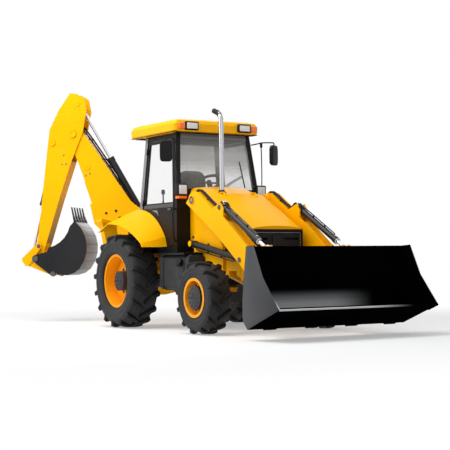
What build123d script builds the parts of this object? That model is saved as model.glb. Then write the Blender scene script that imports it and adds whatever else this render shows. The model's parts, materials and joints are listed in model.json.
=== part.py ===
"""Backhoe loader: a wheeled tractor with a loader bucket in front and a digging arm behind.

Machine axes: X forward, Y left, Z up, millimetres, with the ground at Z = 0 and the rear axle at X = 0.
The digging arm lies in one upright plane that is slewed round the kingpost.
"""
import os
from dataclasses import dataclass
from math import cos, hypot, radians, sin, sqrt

from build123d import *

os.makedirs("parts", exist_ok=True)

# ---------------------------------------------------------------- driving dimensions
RUN = 0.3                    # running clearance of pins, bores and seats
WHEELBASE = 2170

# wheels: rolling radius, tyre width, rim flange, bead seat, rim width, centre from the middle
REAR_R, REAR_W, REAR_FLANGE, REAR_SEAT, REAR_RIM_W, REAR_Y = 666, 420, 381, 356, 330, 915
FRONT_R, FRONT_W, FRONT_FLANGE, FRONT_SEAT, FRONT_RIM_W, FRONT_Y = 469, 320, 254, 229, 300, 930
FLANGE_T = 14
RIM_T = 10
# lugs on each half of the tread: their number, width, height and the length they run round the tyre
REAR_LUGS, REAR_LUG_W, REAR_LUG_H, REAR_LUG_RUN = 16, 62, 42, 150
FRONT_LUGS, FRONT_LUG_W, FRONT_LUG_H, FRONT_LUG_RUN = 12, 56, 34, 120
REAR_HUB_R, REAR_HUB_END, REAR_DISC_Y = 138, 1030, 930
FRONT_HUB_R, FRONT_HUB_END, FRONT_DISC_Y = 150, 1066, 985
KINGPIN_Y, KINGPIN_R = 740, 24

# main frame: two rails, their height, and what they carry
RAIL_IN, RAIL_OUT = 420, 485
RAIL_LOW, RAIL_TOP = 800, 1050
RAIL_REAR, RAIL_FRONT = -1050, 2360
CROSS_T = 50
NOSE_X, NOSE_LOW = 2450, 600
CRADLE_T, CRADLE_GAP, CRADLE_LOW, CRADLE_PIN_R = 90, 8, 385, 32
AXLE_R, DIFF_R, DIFF_HALF = 105, 190, 170
BEAM_HALF, BEAM_H = 80, 160

# loader: pins in side view (forward, up)
TOWER_IN, TOWER_OUT = 485, 525
ARM_IN, ARM_OUT, ARM_PLATE = 530, 670, 18
ARM_MID = (ARM_IN + ARM_OUT) / 2
ARM_HINGE = (1457, 1753)
BUCKET_PIN = (3385, 330)
LEVER_PIN = (3080, 620)
LEVER_TOP = (3130, 1080)
BUCKET_LINK = (LEVER_TOP[0] + BUCKET_PIN[0] - LEVER_PIN[0], LEVER_TOP[1] + BUCKET_PIN[1] - LEVER_PIN[1])
LIFT_BASE, LIFT_EYE = (1360, 1170), (2620, 945)
TILT_BASE = (2150, 1625)
HINGE_PIN_R, WORK_PIN_R = 34, 27
ARM_END_R = 60
TORQUE_TUBE, TORQUE_TUBE_R = (2820, 880), 85
LEVER_IN, LEVER_OUT = 29, 47         # from the arm's middle
LINK_IN, LINK_OUT = 52, 70
LUG_T = 20

# loader bucket
BUCKET_HALF = 1175
SHEET, SIDE_T = 14, 16
EDGE_T, EDGE_W = 24, 190     # cutting edge along the lip and up the sides


def from_bucket_pin(forward, up):
    """Point of the loader bucket, measured from its pin."""
    return BUCKET_PIN[0] + forward, BUCKET_PIN[1] + up


LIP = from_bucket_pin(846, 44)
HEEL = from_bucket_pin(182, -202)
BUCKET_BACK = from_bucket_pin(72, 150)
HEEL_BEND = from_bucket_pin(83, -50)
BUCKET_TOP_REAR = from_bucket_pin(172, 770)
BUCKET_TOP_FRONT = from_bucket_pin(337, 780)
SIDE_HOLLOW = from_bucket_pin(520, 415)
PAD_W, PAD_T, PAD_Y = 170, 26, (-900, -300, 300, 900)

# bonnet, cowl and nose grille
BONNET_REAR, BONNET_FRONT = 1560, 2500
BONNET_GAP = 6
BONNET_HALF_REAR, BONNET_HALF_FRONT = 475, 420
BONNET_TOP_REAR, BONNET_TOP_FRONT = 1843, 1378
BONNET_LOW_REAR, BONNET_LOW_FRONT = 1150, 1335
BONNET_T = 8
COWL_TOP = 1965
SHOULDER_R = 95
GRILLE_X, GRILLE_T, GRILLE_HALF = 2435, 60, 420
GRILLE_RIM, GRILLE_DEEP, LOUVRES = 22, 14, 6
EXHAUST_X, EXHAUST_Y, EXHAUST_R = 1460, -200, 34
EXHAUST_TOP, EXHAUST_BEND, EXHAUST_TURN, EXHAUST_TAIL = 2830, 140, 70, 90
HINGE_Y, HINGE_Z = 250, 1852

# cab
CAB_LOW, SILL, CAB_TOP = 1050, 1660, 2715
CAB_HALF, CAB_TOP_HALF = 690, 600
CAB_REAR, CAB_REAR_TOP = 0, 50
CAB_FRONT, CAB_FRONT_TOP = 1075, 920
TUB_REAR = -300
WALL = 35
PILLAR = 65
WINDOW_TOP, SCREEN_LOW, REAR_WINDOW_LOW = CAB_TOP - 75, 1930, 1740
DOOR_GAP, DOOR_T, DOOR_RAIL = 8, 28, 45
GLASS_IN, GLASS_T = 12, 6
DOOR_HINGE_X, DOOR_HINGE_TOP_X, DOOR_HINGE_OUT = 115, 150, 14
DOOR_PIN_R, DOOR_KNUCKLE_R, DOOR_KNUCKLE, DOOR_LEAF = 6, 12, 42, 40
ROOF_REAR, ROOF_FRONT, ROOF_HALF, ROOF_TOP = -275, 1040, 700, CAB_TOP + 185
ROOF_CORNER = 70

# lamps and mirrors: places from the middle and heights
WORK_LAMP_Y, WORK_LAMP_W, WORK_LAMP_H = 430, 200, 105
INDICATOR_Y, INDICATOR_W, INDICATOR_H = 590, 95, 85
HEAD_LAMP_Y, HEAD_LAMP_Z, HEAD_LAMP, HEAD_LAMP_DEEP = 640, 1910, 165, 110
MIRROR = (1135, 880, CAB_TOP - 285)
MIRROR_W, MIRROR_H, MIRROR_T, MIRROR_TURN = 172, 290, 60, 27
STALK_R = 11

# rear wings
WING_IN, WING_OUT, WING_T = CAB_HALF + RUN, 1085, 14

# side tanks and steps
TANK_REAR, TANK_FRONT, TANK_OUT, TANK_LOW, TANK_TOP = 740, 1540, 780, 550, 1020

# rear frame, kingpost and stabilisers
FRAME_T, FRAME_HALF, FRAME_LOW, FRAME_TOP = 80, 620, 420, 1310
KING_X, SLEW_ANGLE = -1360, 45
KING_PIN_R, KING_LUG_R, KING_LUG_T = 40, 110, 60
KING_LOW, KING_TOP = 560, 1240
LEG_X, LEG_HALF, LEG_PIVOT_Y, LEG_PIVOT_Z = -955, 60, 560, 620

# digging arm: pins in the slewed plane (out from the kingpost, up)
FOOT = (300, 750)
ELBOW = (1030, 2960)
DIG_PIN = (1640, 1000)
BOOM_RAM_BASE, BOOM_RAM_EYE = (180, 1050), (800, 2430)
DIPPER_RAM_BASE, DIPPER_RAM_EYE = (-60, 1700), (950, 3440)
DIG_RAM_BASE, DIG_RAM_EYE = (1370, 2830), (1800, 930)
TIP_PIVOT = (1600, 1200)
TIP_BUCKET = (1350, 760)
BOOM_IN, BOOM_OUT = 75, 95
KING_IN, KING_OUT = 100, 125
DIPPER_IN, DIPPER_OUT = 100, 120
TIP_LINK_IN, TIP_LINK_OUT = 125, 143
TIP_LEVER_IN, TIP_LEVER_OUT = 148, 166
EAR_IN, EAR_OUT = 173, 195
DIG_HALF = 265
DIG_SHEET = 16
TEETH, TOOTH_W = 5, 52
FLANGE_PLATE = 16
GLAND = 60

# the stored part's origin: the middle of the footprint
TIP_NOSE, TIP_NOSE_R = (1845, 990), 40
TIP_REACH = TIP_NOSE[0] + TIP_NOSE_R + TIP_LEVER_OUT
DATUM_X = (LIP[0] + KING_X - TIP_REACH * cos(radians(SLEW_ANGLE))) / 2
DATUM_Y = (BUCKET_HALF - TIP_REACH * sin(radians(SLEW_ANGLE))) / 2
DATUM = Location((-DATUM_X, -DATUM_Y, 0))

SIDE = Plane.XZ              # side view: x forward, y up, normal to the right
SLEW = Plane(
    origin=(KING_X, 0, 0),
    x_dir=(-cos(radians(SLEW_ANGLE)), -sin(radians(SLEW_ANGLE)), 0),
    z_dir=(-sin(radians(SLEW_ANGLE)), cos(radians(SLEW_ANGLE)), 0),
)


# ---------------------------------------------------------------- shared forms
def save(piece, label):
    """Label a finished piece and write it with the stored part's origin."""
    piece.label = label
    export_step(piece.moved(DATUM), f"parts/{label}.step")


def pair(plane, inner, outer):
    """Planes of two plates, one each side of a plane, for an extrude by outer - inner."""
    return plane.offset(inner), plane.offset(-outer)


def outline(*points):
    """Filled polygon in the current sketch."""
    Polygon(*points, align=None)


def discs(*circles):
    """Outline drawn tight round a chain of bosses, each (x, y, radius)."""
    for x, y, radius in circles:
        with Locations((x, y)):
            Circle(radius)
    make_hull()


def pin(plane, point, radius, half, mode=Mode.ADD):
    """Cross pin or bore through a point of a plane, half its length to each side."""
    with BuildSketch(plane) as section:
        with Locations(point):
            Circle(radius)
    extrude(section.sketch, amount=half, both=True, mode=mode)


def tube_pair(plane, point, radius, inner, outer, mode=Mode.ADD):
    """Boss or bore at one point of a plane, on both sides from inner to outer."""
    with BuildSketch(*pair(plane, inner, outer)) as section:
        with Locations(point):
            Circle(radius)
    extrude(section.sketch, amount=outer - inner, mode=mode)


def bent(start, middle, end, flats):
    """Corners of a sheet bent in flats along the arc through three points."""
    arc = Edge.make_three_point_arc(Vector(*start), Vector(*middle), Vector(*end))
    return [((arc @ (i / flats)).X, (arc @ (i / flats)).Y) for i in range(flats + 1)]


def unit(start, end):
    length = hypot(end[0] - start[0], end[1] - start[1])
    return (end[0] - start[0]) / length, (end[1] - start[1]) / length


def along(plane, start, end, distance):
    """Plane across the line from start to end, at a distance from start."""
    dx, dy = unit(start, end)
    foot = plane.from_local_coords(Vector(start[0] + dx * distance, start[1] + dy * distance, 0))
    tip = plane.from_local_coords(Vector(start[0] + dx * (distance + 1), start[1] + dy * (distance + 1), 0))
    return Plane(origin=foot, x_dir=plane.z_dir, z_dir=tip - foot)


@dataclass
class Ram:
    """Hydraulic ram in one plane: its two pins and the sizes of barrel, rod and eyes."""
    base: tuple
    eye: tuple
    barrel_r: float
    rod_r: float
    barrel: float            # barrel's length from the base pin
    tail: float              # rod's inner end from the base pin at rest
    eye_r: float
    base_half: float
    eye_half: float
    pin_r: float


def ram_barrel(ram, plane):
    """Barrel with a bored base eye, a gland and the rod's bore."""
    pin(plane, ram.base, ram.eye_r, ram.base_half)
    stations = (
        (ram.eye_r * 0.8, ram.barrel, ram.barrel_r, Mode.ADD),
        (ram.barrel - GLAND, ram.barrel, ram.barrel_r + 6, Mode.ADD),
        (ram.eye_r + 20, ram.barrel + 1, ram.rod_r + RUN, Mode.SUBTRACT),
    )
    for start, end, radius, mode in stations:
        with BuildSketch(along(plane, ram.base, ram.eye, start)) as section:
            Circle(radius)
        extrude(section.sketch, amount=end - start, mode=mode)
    pin(plane, ram.base, ram.pin_r + RUN, ram.base_half + 1, mode=Mode.SUBTRACT)


def ram_rod(ram, plane):
    """Rod with its eye, which stays free of the pin that it would close on."""
    length = hypot(ram.eye[0] - ram.base[0], ram.eye[1] - ram.base[1])
    with BuildSketch(along(plane, ram.base, ram.eye, ram.tail)) as section:
        Circle(ram.rod_r)
    extrude(section.sketch, amount=length - ram.tail)
    pin(plane, ram.eye, ram.eye_r, ram.eye_half)


LIFT = Ram(LIFT_BASE, LIFT_EYE, 44, 25, 1130, 400, 42, 46, 44, 25)
TILT = Ram(TILT_BASE, LEVER_TOP, 40, 22, 940, 240, 42, 46, 24, 25)
BOOM_RAM = Ram(BOOM_RAM_BASE, BOOM_RAM_EYE, 58, 30, 1330, 620, 55, 60, 60, 30)
DIPPER_RAM = Ram(DIPPER_RAM_BASE, DIPPER_RAM_EYE, 52, 28, 1010, 915, 52, 60, 60, 28)
DIG_RAM = Ram(DIG_RAM_BASE, DIG_RAM_EYE, 45, 25, 1010, 800, 45, 60, 45, 25)


# ---------------------------------------------------------------- frame and drive
with BuildPart() as chassis_frame:
    # two deep side rails
    with BuildSketch(*pair(SIDE, RAIL_IN, RAIL_OUT)):
        outline((RAIL_REAR, RAIL_LOW), (RAIL_FRONT, RAIL_LOW), (RAIL_FRONT, RAIL_TOP), (RAIL_REAR, RAIL_TOP))
    extrude(amount=RAIL_OUT - RAIL_IN)
    # cross members under the cab and behind the axle
    for x in (-850, 250, 1150):
        with Locations((x, 0, RAIL_TOP - CROSS_T / 2)):
            Box(80, 2 * RAIL_IN, CROSS_T)
    # front cradle: two cross plates that hold the axle's pivot pin
    for x in (WHEELBASE - BEAM_HALF - CRADLE_GAP - CRADLE_T, WHEELBASE + BEAM_HALF + CRADLE_GAP):
        with BuildSketch(Plane.YZ.offset(x)):
            outline(
                (-RAIL_OUT, RAIL_LOW), (-RAIL_OUT, RAIL_LOW - 60), (-180, NOSE_LOW), (-110, CRADLE_LOW),
                (110, CRADLE_LOW), (180, NOSE_LOW), (RAIL_OUT, RAIL_LOW - 60), (RAIL_OUT, RAIL_LOW),
            )
        extrude(amount=CRADLE_T)
    with BuildSketch(Plane.YZ.offset(WHEELBASE - BEAM_HALF - CRADLE_GAP - CRADLE_T)):
        with Locations((0, FRONT_R)):
            Circle(CRADLE_PIN_R)
    extrude(amount=2 * (BEAM_HALF + CRADLE_GAP + CRADLE_T))
    # nose plate across the rails
    with BuildSketch(Plane.YZ.offset(RAIL_FRONT)):
        outline(
            (-RAIL_OUT, RAIL_TOP), (-RAIL_OUT, NOSE_LOW + 80), (-RAIL_OUT + 120, NOSE_LOW),
            (RAIL_OUT - 120, NOSE_LOW), (RAIL_OUT, NOSE_LOW + 80), (RAIL_OUT, RAIL_TOP),
        )
    extrude(amount=NOSE_X - RAIL_FRONT)
    # loader towers with the arm hinges and the lift rams' pins
    with BuildSketch(*pair(SIDE, TOWER_IN, TOWER_OUT)):
        outline((1250, RAIL_LOW), (1990, RAIL_LOW), (1990, 1120), (1560, 1760), (1350, 1760), (1250, 1180))
        with Locations(ARM_HINGE):
            Circle(100)
    extrude(amount=TOWER_OUT - TOWER_IN)
    tube_pair(SIDE, ARM_HINGE, HINGE_PIN_R, TOWER_IN, ARM_OUT + 14)
    tube_pair(SIDE, ARM_HINGE, HINGE_PIN_R + 22, ARM_OUT + 2, ARM_OUT + 14)
    tube_pair(SIDE, LIFT_BASE, LIFT.pin_r, TOWER_OUT, ARM_MID + LIFT.base_half + 14)
    tube_pair(SIDE, LIFT_BASE, LIFT.pin_r + 22, TOWER_OUT, ARM_MID - LIFT.base_half - 5)
    tube_pair(SIDE, LIFT_BASE, LIFT.pin_r + 14, ARM_MID + LIFT.base_half + 4, ARM_MID + LIFT.base_half + 14)
    # saddles on the rear axle
    for y in (-RAIL_IN - 32, RAIL_IN + 32):
        with Locations((0, y, RAIL_LOW - 30)):
            Box(180, 60, 60)
    with BuildSketch(Plane.XZ):
        with Locations((0, REAR_R)):
            Circle(AXLE_R + RUN)
    extrude(amount=RAIL_OUT + 20, both=True, mode=Mode.SUBTRACT)
save(chassis_frame.part, "chassis_frame")

with BuildPart() as rear_axle:
    with BuildSketch(Plane.YZ) as axle_section:
        outline(
            (0, REAR_R), (0, REAR_R + DIFF_R), (DIFF_HALF - 70, REAR_R + DIFF_R), (DIFF_HALF, REAR_R + AXLE_R + 30),
            (DIFF_HALF + 60, REAR_R + AXLE_R), (660, REAR_R + AXLE_R), (660, REAR_R + REAR_HUB_R + 20),
            (700, REAR_R + REAR_HUB_R + 20), (700, REAR_R + REAR_HUB_R), (REAR_HUB_END - 14, REAR_R + REAR_HUB_R),
            (REAR_HUB_END, REAR_R + REAR_HUB_R - 14), (REAR_HUB_END, REAR_R),
        )
    revolve(axis=Axis((0, 0, REAR_R), (0, 1, 0)))
    mirror(about=Plane.XZ)
save(rear_axle.part, "rear_axle")

# forward, height, length, width and depth of block, rocker cover, sump, mounts, radiator and shroud
ENGINE_BLOCKS = (
    (1700, 1075, 800, 440, 530), (1640, 1390, 560, 240, 110), (1640, 770, 600, 320, 90),
    (1450, 880, 90, 2 * RAIL_IN, 60), (1930, 880, 90, 2 * RAIL_IN, 60),
    (2200, 1120, 90, 760, 500), (2128, 1120, 60, 420, 420),
)
with BuildPart() as engine:
    for x, z, length, width, depth in ENGINE_BLOCKS:
        with Locations((x, 0, z)):
            Box(length, width, depth)
save(engine.part, "engine")

with BuildPart() as transmission:
    with Locations((775, 0, 800)):
        Box(1050, 380, 400)
    fillet(transmission.edges().filter_by(Axis.X), 60)
    with BuildSketch(Plane.YZ.offset(DIFF_R - 30)):
        with Locations((0, REAR_R + 20)):
            Circle(55)
    extrude(amount=120)
    with BuildSketch(Plane.XZ):
        with Locations((0, REAR_R)):
            Circle(DIFF_R + RUN)
    extrude(amount=DIFF_HALF + 30, both=True, mode=Mode.SUBTRACT)
save(transmission.part, "transmission")

with BuildPart() as front_axle:
    # drive beam with a pivot bore and a kingpin boss at each end
    with BuildSketch(Plane.YZ.offset(WHEELBASE - BEAM_HALF)):
        outline(
            (-KINGPIN_Y, FRONT_R - 60), (-KINGPIN_Y + 120, FRONT_R - 60), (-160, FRONT_R - BEAM_H / 2),
            (160, FRONT_R - BEAM_H / 2), (KINGPIN_Y - 120, FRONT_R - 60), (KINGPIN_Y, FRONT_R - 60),
            (KINGPIN_Y, FRONT_R + 60), (-KINGPIN_Y, FRONT_R + 60),
        )
    extrude(amount=2 * BEAM_HALF)
    for y in (-KINGPIN_Y, KINGPIN_Y):
        with Locations((WHEELBASE, y, FRONT_R)):
            Cylinder(BEAM_HALF, 120)
            Cylinder(KINGPIN_R, 190)
    with BuildSketch(Plane.YZ.offset(WHEELBASE - BEAM_HALF)):
        with Locations((0, FRONT_R)):
            Circle(CRADLE_PIN_R + RUN)
    extrude(amount=2 * BEAM_HALF, mode=Mode.SUBTRACT)
save(front_axle.part, "front_axle")

for side, sign in (("right", -1), ("left", 1)):
    with BuildPart() as knuckle:
        # yoke above and below the kingpin boss, and the wheel hub
        for z in (FRONT_R + 80, FRONT_R - 80):
            with Locations((WHEELBASE, sign * KINGPIN_Y, z)):
                Cylinder(60, 30)
            with Locations((WHEELBASE, sign * (KINGPIN_Y + 60), z)):
                Box(110, 120, 30)
        with BuildSketch(Plane.XZ.offset(-sign * (KINGPIN_Y + 90))):
            with Locations((WHEELBASE, FRONT_R)):
                Circle(FRONT_HUB_R - 25)
        extrude(amount=-sign * (FRONT_DISC_Y - KINGPIN_Y - 90))
        with BuildSketch(Plane.XZ.offset(-sign * (FRONT_DISC_Y - 30))):
            with Locations((WHEELBASE, FRONT_R)):
                Circle(FRONT_HUB_R)
        extrude(amount=-sign * (FRONT_HUB_END - FRONT_DISC_Y + 30))
        with Locations((WHEELBASE, sign * KINGPIN_Y, FRONT_R)):
            Cylinder(KINGPIN_R + RUN, 2 * 100, mode=Mode.SUBTRACT)
    save(knuckle.part, f"knuckle_{side}")


# ---------------------------------------------------------------- wheels
def tyre_body(radius, width, flange, seat, inner, lugs, lug_w, lug_h, run):
    """Tyre round its own middle: flat-sided carcass, two per lug, with a chevron of lugs on the tread."""
    half, base = width / 2, radius - lug_h
    # half the carcass from bead to tread, as (distance from the middle, radius)
    stations = [(inner, flange + 6), (half, (radius + flange) / 2), (half * 0.88, base * 0.965), (half * 0.55, base)]
    stations += [(-y, ring) for y, ring in reversed(stations)]
    with BuildPart(mode=Mode.PRIVATE) as lug:
        with BuildSketch(Plane.XY.offset(base * 0.9)):
            outline(
                (-run / 2 - lug_w * 0.6, half * 0.98), (-run / 2 + lug_w * 0.6, half * 0.98),
                (run / 2 + lug_w * 0.5, -half * 0.05), (run / 2 - lug_w * 0.5, -half * 0.05),
            )
        extrude(amount=sqrt(radius ** 2 - (run / 2 + lug_w * 0.6) ** 2) - base * 0.9)
    left, right = lug.part, lug.part.mirror(Plane.XZ)
    with BuildPart() as tyre:
        rings = []
        for y, ring in stations:
            with BuildSketch(Plane.XZ.offset(-y)) as section:
                RegularPolygon(ring, 2 * lugs)
            rings.append(section.sketch.face())
        loft(rings, ruled=True)
        with BuildSketch(Plane.XZ) as bore:
            Circle(seat)
        extrude(bore.sketch, amount=half, both=True, mode=Mode.SUBTRACT)
        step = 360 / lugs
        add([left.rotate(Axis.Y, step * i) for i in range(lugs)]
            + [right.rotate(Axis.Y, step * (i + 0.5)) for i in range(lugs)])
    return tyre.part


def rim_body(flange, seat, rim_w, inner, dish, hub_r):
    """Rim round the tyre's middle: barrel with two flanges and a dished disc, dish out from the middle."""
    with BuildPart() as rim:
        with BuildSketch(Plane.YZ):
            outline(
                (-rim_w / 2, flange), (-inner, flange), (-inner, seat), (inner, seat), (inner, flange),
                (rim_w / 2, flange), (rim_w / 2, seat - RIM_T), (-rim_w / 2, seat - RIM_T),
            )
            outline(
                (dish - 50, seat - RIM_T), (dish - 50 + RIM_T * 2, seat - RIM_T), (dish, hub_r + 50),
                (dish, hub_r + RUN), (dish - RIM_T * 1.4, hub_r + RUN), (dish - RIM_T * 1.4, hub_r + 45),
            )
        revolve(axis=Axis.Y)
    return rim.part


# name, forward place, rolling radius, middle from the machine's middle, tyre and rim
AXLES = (
    ("rear", 0, REAR_R, REAR_Y,
     tyre_body(REAR_R, REAR_W, REAR_FLANGE, REAR_SEAT, REAR_RIM_W / 2 - FLANGE_T,
               REAR_LUGS, REAR_LUG_W, REAR_LUG_H, REAR_LUG_RUN),
     rim_body(REAR_FLANGE, REAR_SEAT, REAR_RIM_W, REAR_RIM_W / 2 - FLANGE_T, REAR_DISC_Y - REAR_Y, REAR_HUB_R)),
    ("front", WHEELBASE, FRONT_R, FRONT_Y,
     tyre_body(FRONT_R, FRONT_W, FRONT_FLANGE, FRONT_SEAT, FRONT_RIM_W / 2 - FLANGE_T,
               FRONT_LUGS, FRONT_LUG_W, FRONT_LUG_H, FRONT_LUG_RUN),
     rim_body(FRONT_FLANGE, FRONT_SEAT, FRONT_RIM_W, FRONT_RIM_W / 2 - FLANGE_T, FRONT_DISC_Y - FRONT_Y,
              FRONT_HUB_R)),
)
for axle, x, radius, centre, tyre, rim in AXLES:
    for side, sign in (("right", -1), ("left", 1)):
        place = Location((x, sign * centre, radius))
        save(tyre.moved(place), f"tyre_{axle}_{side}")
        save((rim if sign > 0 else rim.mirror(Plane.XZ)).moved(place), f"rim_{axle}_{side}")


# ---------------------------------------------------------------- body panels
def hood_section(x, half, top, low, shrink=0):
    """Arched cross-section of bonnet or cowl at one station, drawn inwards by shrink."""
    width, crown, shoulder = half - shrink, top - shrink, SHOULDER_R - shrink
    with BuildSketch(Plane.YZ.offset(x)) as section:
        with BuildLine():
            Line((-width, low), (width, low))
            Line((width, low), (width, crown - shoulder - 20))
            ThreePointArc(
                (width, crown - shoulder - 20), (width - shoulder * 0.3, crown - shoulder * 0.3 - 20),
                (width - shoulder, crown - 20),
            )
            ThreePointArc((width - shoulder, crown - 20), (0, crown), (-width + shoulder, crown - 20))
            ThreePointArc(
                (-width + shoulder, crown - 20), (-width + shoulder * 0.3, crown - shoulder * 0.3 - 20),
                (-width, crown - shoulder - 20),
            )
            Line((-width, crown - shoulder - 20), (-width, low))
        make_face()
    return section.sketch.face()


with BuildPart() as bonnet:
    # outer skin lofted from the cowl's section down to the low front edge
    loft([
        hood_section(BONNET_REAR, BONNET_HALF_REAR, BONNET_TOP_REAR, BONNET_LOW_REAR),
        hood_section(BONNET_FRONT, BONNET_HALF_FRONT, BONNET_TOP_FRONT, BONNET_TOP_FRONT - 190),
    ], ruled=True)
    # hollow inside, closed at the front by the skin's own lip
    loft([
        hood_section(BONNET_REAR, BONNET_HALF_REAR, BONNET_TOP_REAR, BONNET_LOW_REAR - 20, BONNET_T),
        hood_section(BONNET_FRONT - 24, BONNET_HALF_FRONT, BONNET_TOP_FRONT + 12, BONNET_TOP_FRONT - 200, BONNET_T),
    ], ruled=True, mode=Mode.SUBTRACT)
    # lower edge rising to the front
    with BuildSketch(SIDE):
        outline(
            (BONNET_REAR - 10, BONNET_LOW_REAR), (BONNET_FRONT - 150, BONNET_LOW_FRONT),
            (BONNET_FRONT + 10, BONNET_LOW_FRONT), (BONNET_FRONT + 10, 1000), (BONNET_REAR - 10, 1000),
        )
    extrude(amount=600, both=True, mode=Mode.SUBTRACT)
    # hinge eyes
    for y in (-HINGE_Y, HINGE_Y):
        with BuildSketch(Plane.XZ.offset(-y - 30)):
            discs((BONNET_REAR - BONNET_GAP / 2, HINGE_Z, 13), (BONNET_REAR + 60, HINGE_Z - 44, 6))
        extrude(amount=28)
        with BuildSketch(Plane.XZ.offset(-y - 31)):
            with Locations((BONNET_REAR - BONNET_GAP / 2, HINGE_Z)):
                Circle(6 + RUN)
        extrude(amount=30, mode=Mode.SUBTRACT)
save(bonnet.part, "bonnet")

with BuildPart() as cowl:
    cowl_end = BONNET_REAR - BONNET_GAP
    loft([
        hood_section(CAB_FRONT + RUN, BONNET_HALF_REAR, COWL_TOP, BONNET_LOW_REAR),
        hood_section(cowl_end, BONNET_HALF_REAR, BONNET_TOP_REAR, BONNET_LOW_REAR),
    ], ruled=True)
    loft([
        hood_section(CAB_FRONT + 12, BONNET_HALF_REAR, COWL_TOP - 4, BONNET_LOW_REAR - 20, BONNET_T),
        hood_section(cowl_end, BONNET_HALF_REAR, BONNET_TOP_REAR, BONNET_LOW_REAR - 20, BONNET_T),
    ], ruled=True, mode=Mode.SUBTRACT)
    # hinge eyes beside the bonnet's, with their pins
    for y in (-HINGE_Y, HINGE_Y):
        with BuildSketch(Plane.XZ.offset(-y)):
            discs((BONNET_REAR - BONNET_GAP / 2, HINGE_Z, 13), (cowl_end - 60, HINGE_Z - 6, 6))
        extrude(amount=28)
        with BuildSketch(Plane.XZ.offset(-y - 30)):
            with Locations((BONNET_REAR - BONNET_GAP / 2, HINGE_Z)):
                Circle(6)
        extrude(amount=32)
    # hole for the exhaust
    with Locations((EXHAUST_X, EXHAUST_Y, BONNET_TOP_REAR)):
        Cylinder(EXHAUST_R + RUN, 300, mode=Mode.SUBTRACT)
save(cowl.part, "cowl")

with BuildPart() as exhaust_stack:
    with BuildSketch(Plane(origin=(EXHAUST_X, EXHAUST_Y, 1440), z_dir=(0, 0, 1))):
        Circle(EXHAUST_R)
    extrude(amount=EXHAUST_TOP - 1440)
    # tip bent to the rear
    with BuildLine(Plane(origin=(EXHAUST_X, EXHAUST_Y, EXHAUST_TOP), x_dir=(-1, 0, 0), z_dir=(0, 1, 0))) as tip:
        CenterArc((EXHAUST_BEND, 0), EXHAUST_BEND, 180, -EXHAUST_TURN)
        turn = radians(EXHAUST_TURN)
        bend_end = (EXHAUST_BEND * (1 - cos(turn)), EXHAUST_BEND * sin(turn))
        Line(bend_end, (bend_end[0] + EXHAUST_TAIL * sin(turn), bend_end[1] + EXHAUST_TAIL * cos(turn)))
    with BuildSketch(Plane.XY.offset(EXHAUST_TOP)):
        with Locations((EXHAUST_X, EXHAUST_Y)):
            Circle(EXHAUST_R)
    sweep(path=tip.line)
    with Locations((EXHAUST_X, EXHAUST_Y, EXHAUST_TOP - 70)):
        Cylinder(EXHAUST_R + 6, 30)
save(exhaust_stack.part, "exhaust_stack")

with BuildPart() as grille:
    grille_mid, grille_h = (RAIL_TOP + BONNET_LOW_FRONT - 8) / 2, BONNET_LOW_FRONT - 8 - RAIL_TOP
    with Locations((GRILLE_X, 0, grille_mid)):
        Box(GRILLE_T, 2 * GRILLE_HALF, grille_h)
    # panel set back inside a narrow frame, with louvres that leave the badge's plain pad
    with BuildSketch(Plane.YZ.offset(GRILLE_X + GRILLE_T / 2 - GRILLE_DEEP)):
        with Locations((0, grille_mid)):
            Rectangle(2 * (GRILLE_HALF - GRILLE_RIM), grille_h - 2 * GRILLE_RIM)
            Rectangle(110, 130, mode=Mode.SUBTRACT)
        for i in range(1, LOUVRES):
            with Locations((0, grille_mid - grille_h / 2 + i * grille_h / LOUVRES)):
                Rectangle(2 * GRILLE_HALF, 7, mode=Mode.SUBTRACT)
    extrude(amount=GRILLE_DEEP, mode=Mode.SUBTRACT)
    # two slots for the air
    with BuildSketch(Plane.YZ.offset(GRILLE_X)):
        with Locations((-245, grille_mid + 22), (245, grille_mid + 22)):
            Rectangle(230, 26)
    extrude(amount=GRILLE_T, both=True, mode=Mode.SUBTRACT)
save(grille.part, "grille")

# wings: sheet arches from the cab's side out over the rear tyres
def wing_section(y, front, brow, crown, tail, end):
    """Thin arch at one distance from the middle: front edge, arc over the crown, and tail."""
    def under(point):
        reach = hypot(point[0], point[1] - REAR_R)
        return point[0] * (1 - WING_T / reach), REAR_R + (point[1] - REAR_R) * (1 - WING_T / reach)

    with BuildSketch(Plane.XZ.offset(-y)) as section:
        with BuildLine():
            Line(front, brow)
            ThreePointArc(brow, crown, tail)
            Polyline(tail, end, under(end), under(tail))
            ThreePointArc(under(tail), under(crown), under(brow))
            Polyline(under(brow), under(front), front)
        make_face()
    return section.sketch.face()


for side, sign in (("right", -1), ("left", 1)):
    with BuildPart() as wing:
        loft([
            wing_section(sign * WING_IN, (790, 1140), (745, 1270), (345, 1600), (-250, 1665), (-600, 1490)),
            wing_section(sign * WING_OUT, (800, 1140), (765, 1190), (330, 1400), (-250, 1490), (-560, 1370)),
        ], ruled=True)
    save(wing.part, f"wing_{side}")


# ---------------------------------------------------------------- cab
def cab_block(inset):
    """Cab's outside drawn inwards: an upright tub and a body leaning in to the roof."""
    with Locations(((TUB_REAR + CAB_FRONT) / 2, 0, (CAB_LOW + SILL) / 2 + inset / 2)):
        Box(CAB_FRONT - TUB_REAR - 2 * inset, 2 * (CAB_HALF - inset), SILL - CAB_LOW - inset)
    rings = []
    for z, rear, front, half in (
        (SILL, CAB_REAR, CAB_FRONT, CAB_HALF), (CAB_TOP, CAB_REAR_TOP, CAB_FRONT_TOP, CAB_TOP_HALF),
    ):
        with BuildSketch(Plane.XY.offset(z)) as ring:
            with Locations(((rear + front) / 2, 0)):
                Rectangle(front - rear - 2 * inset, 2 * (half - inset))
        rings.append(ring.sketch.face())
    loft(rings)


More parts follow.
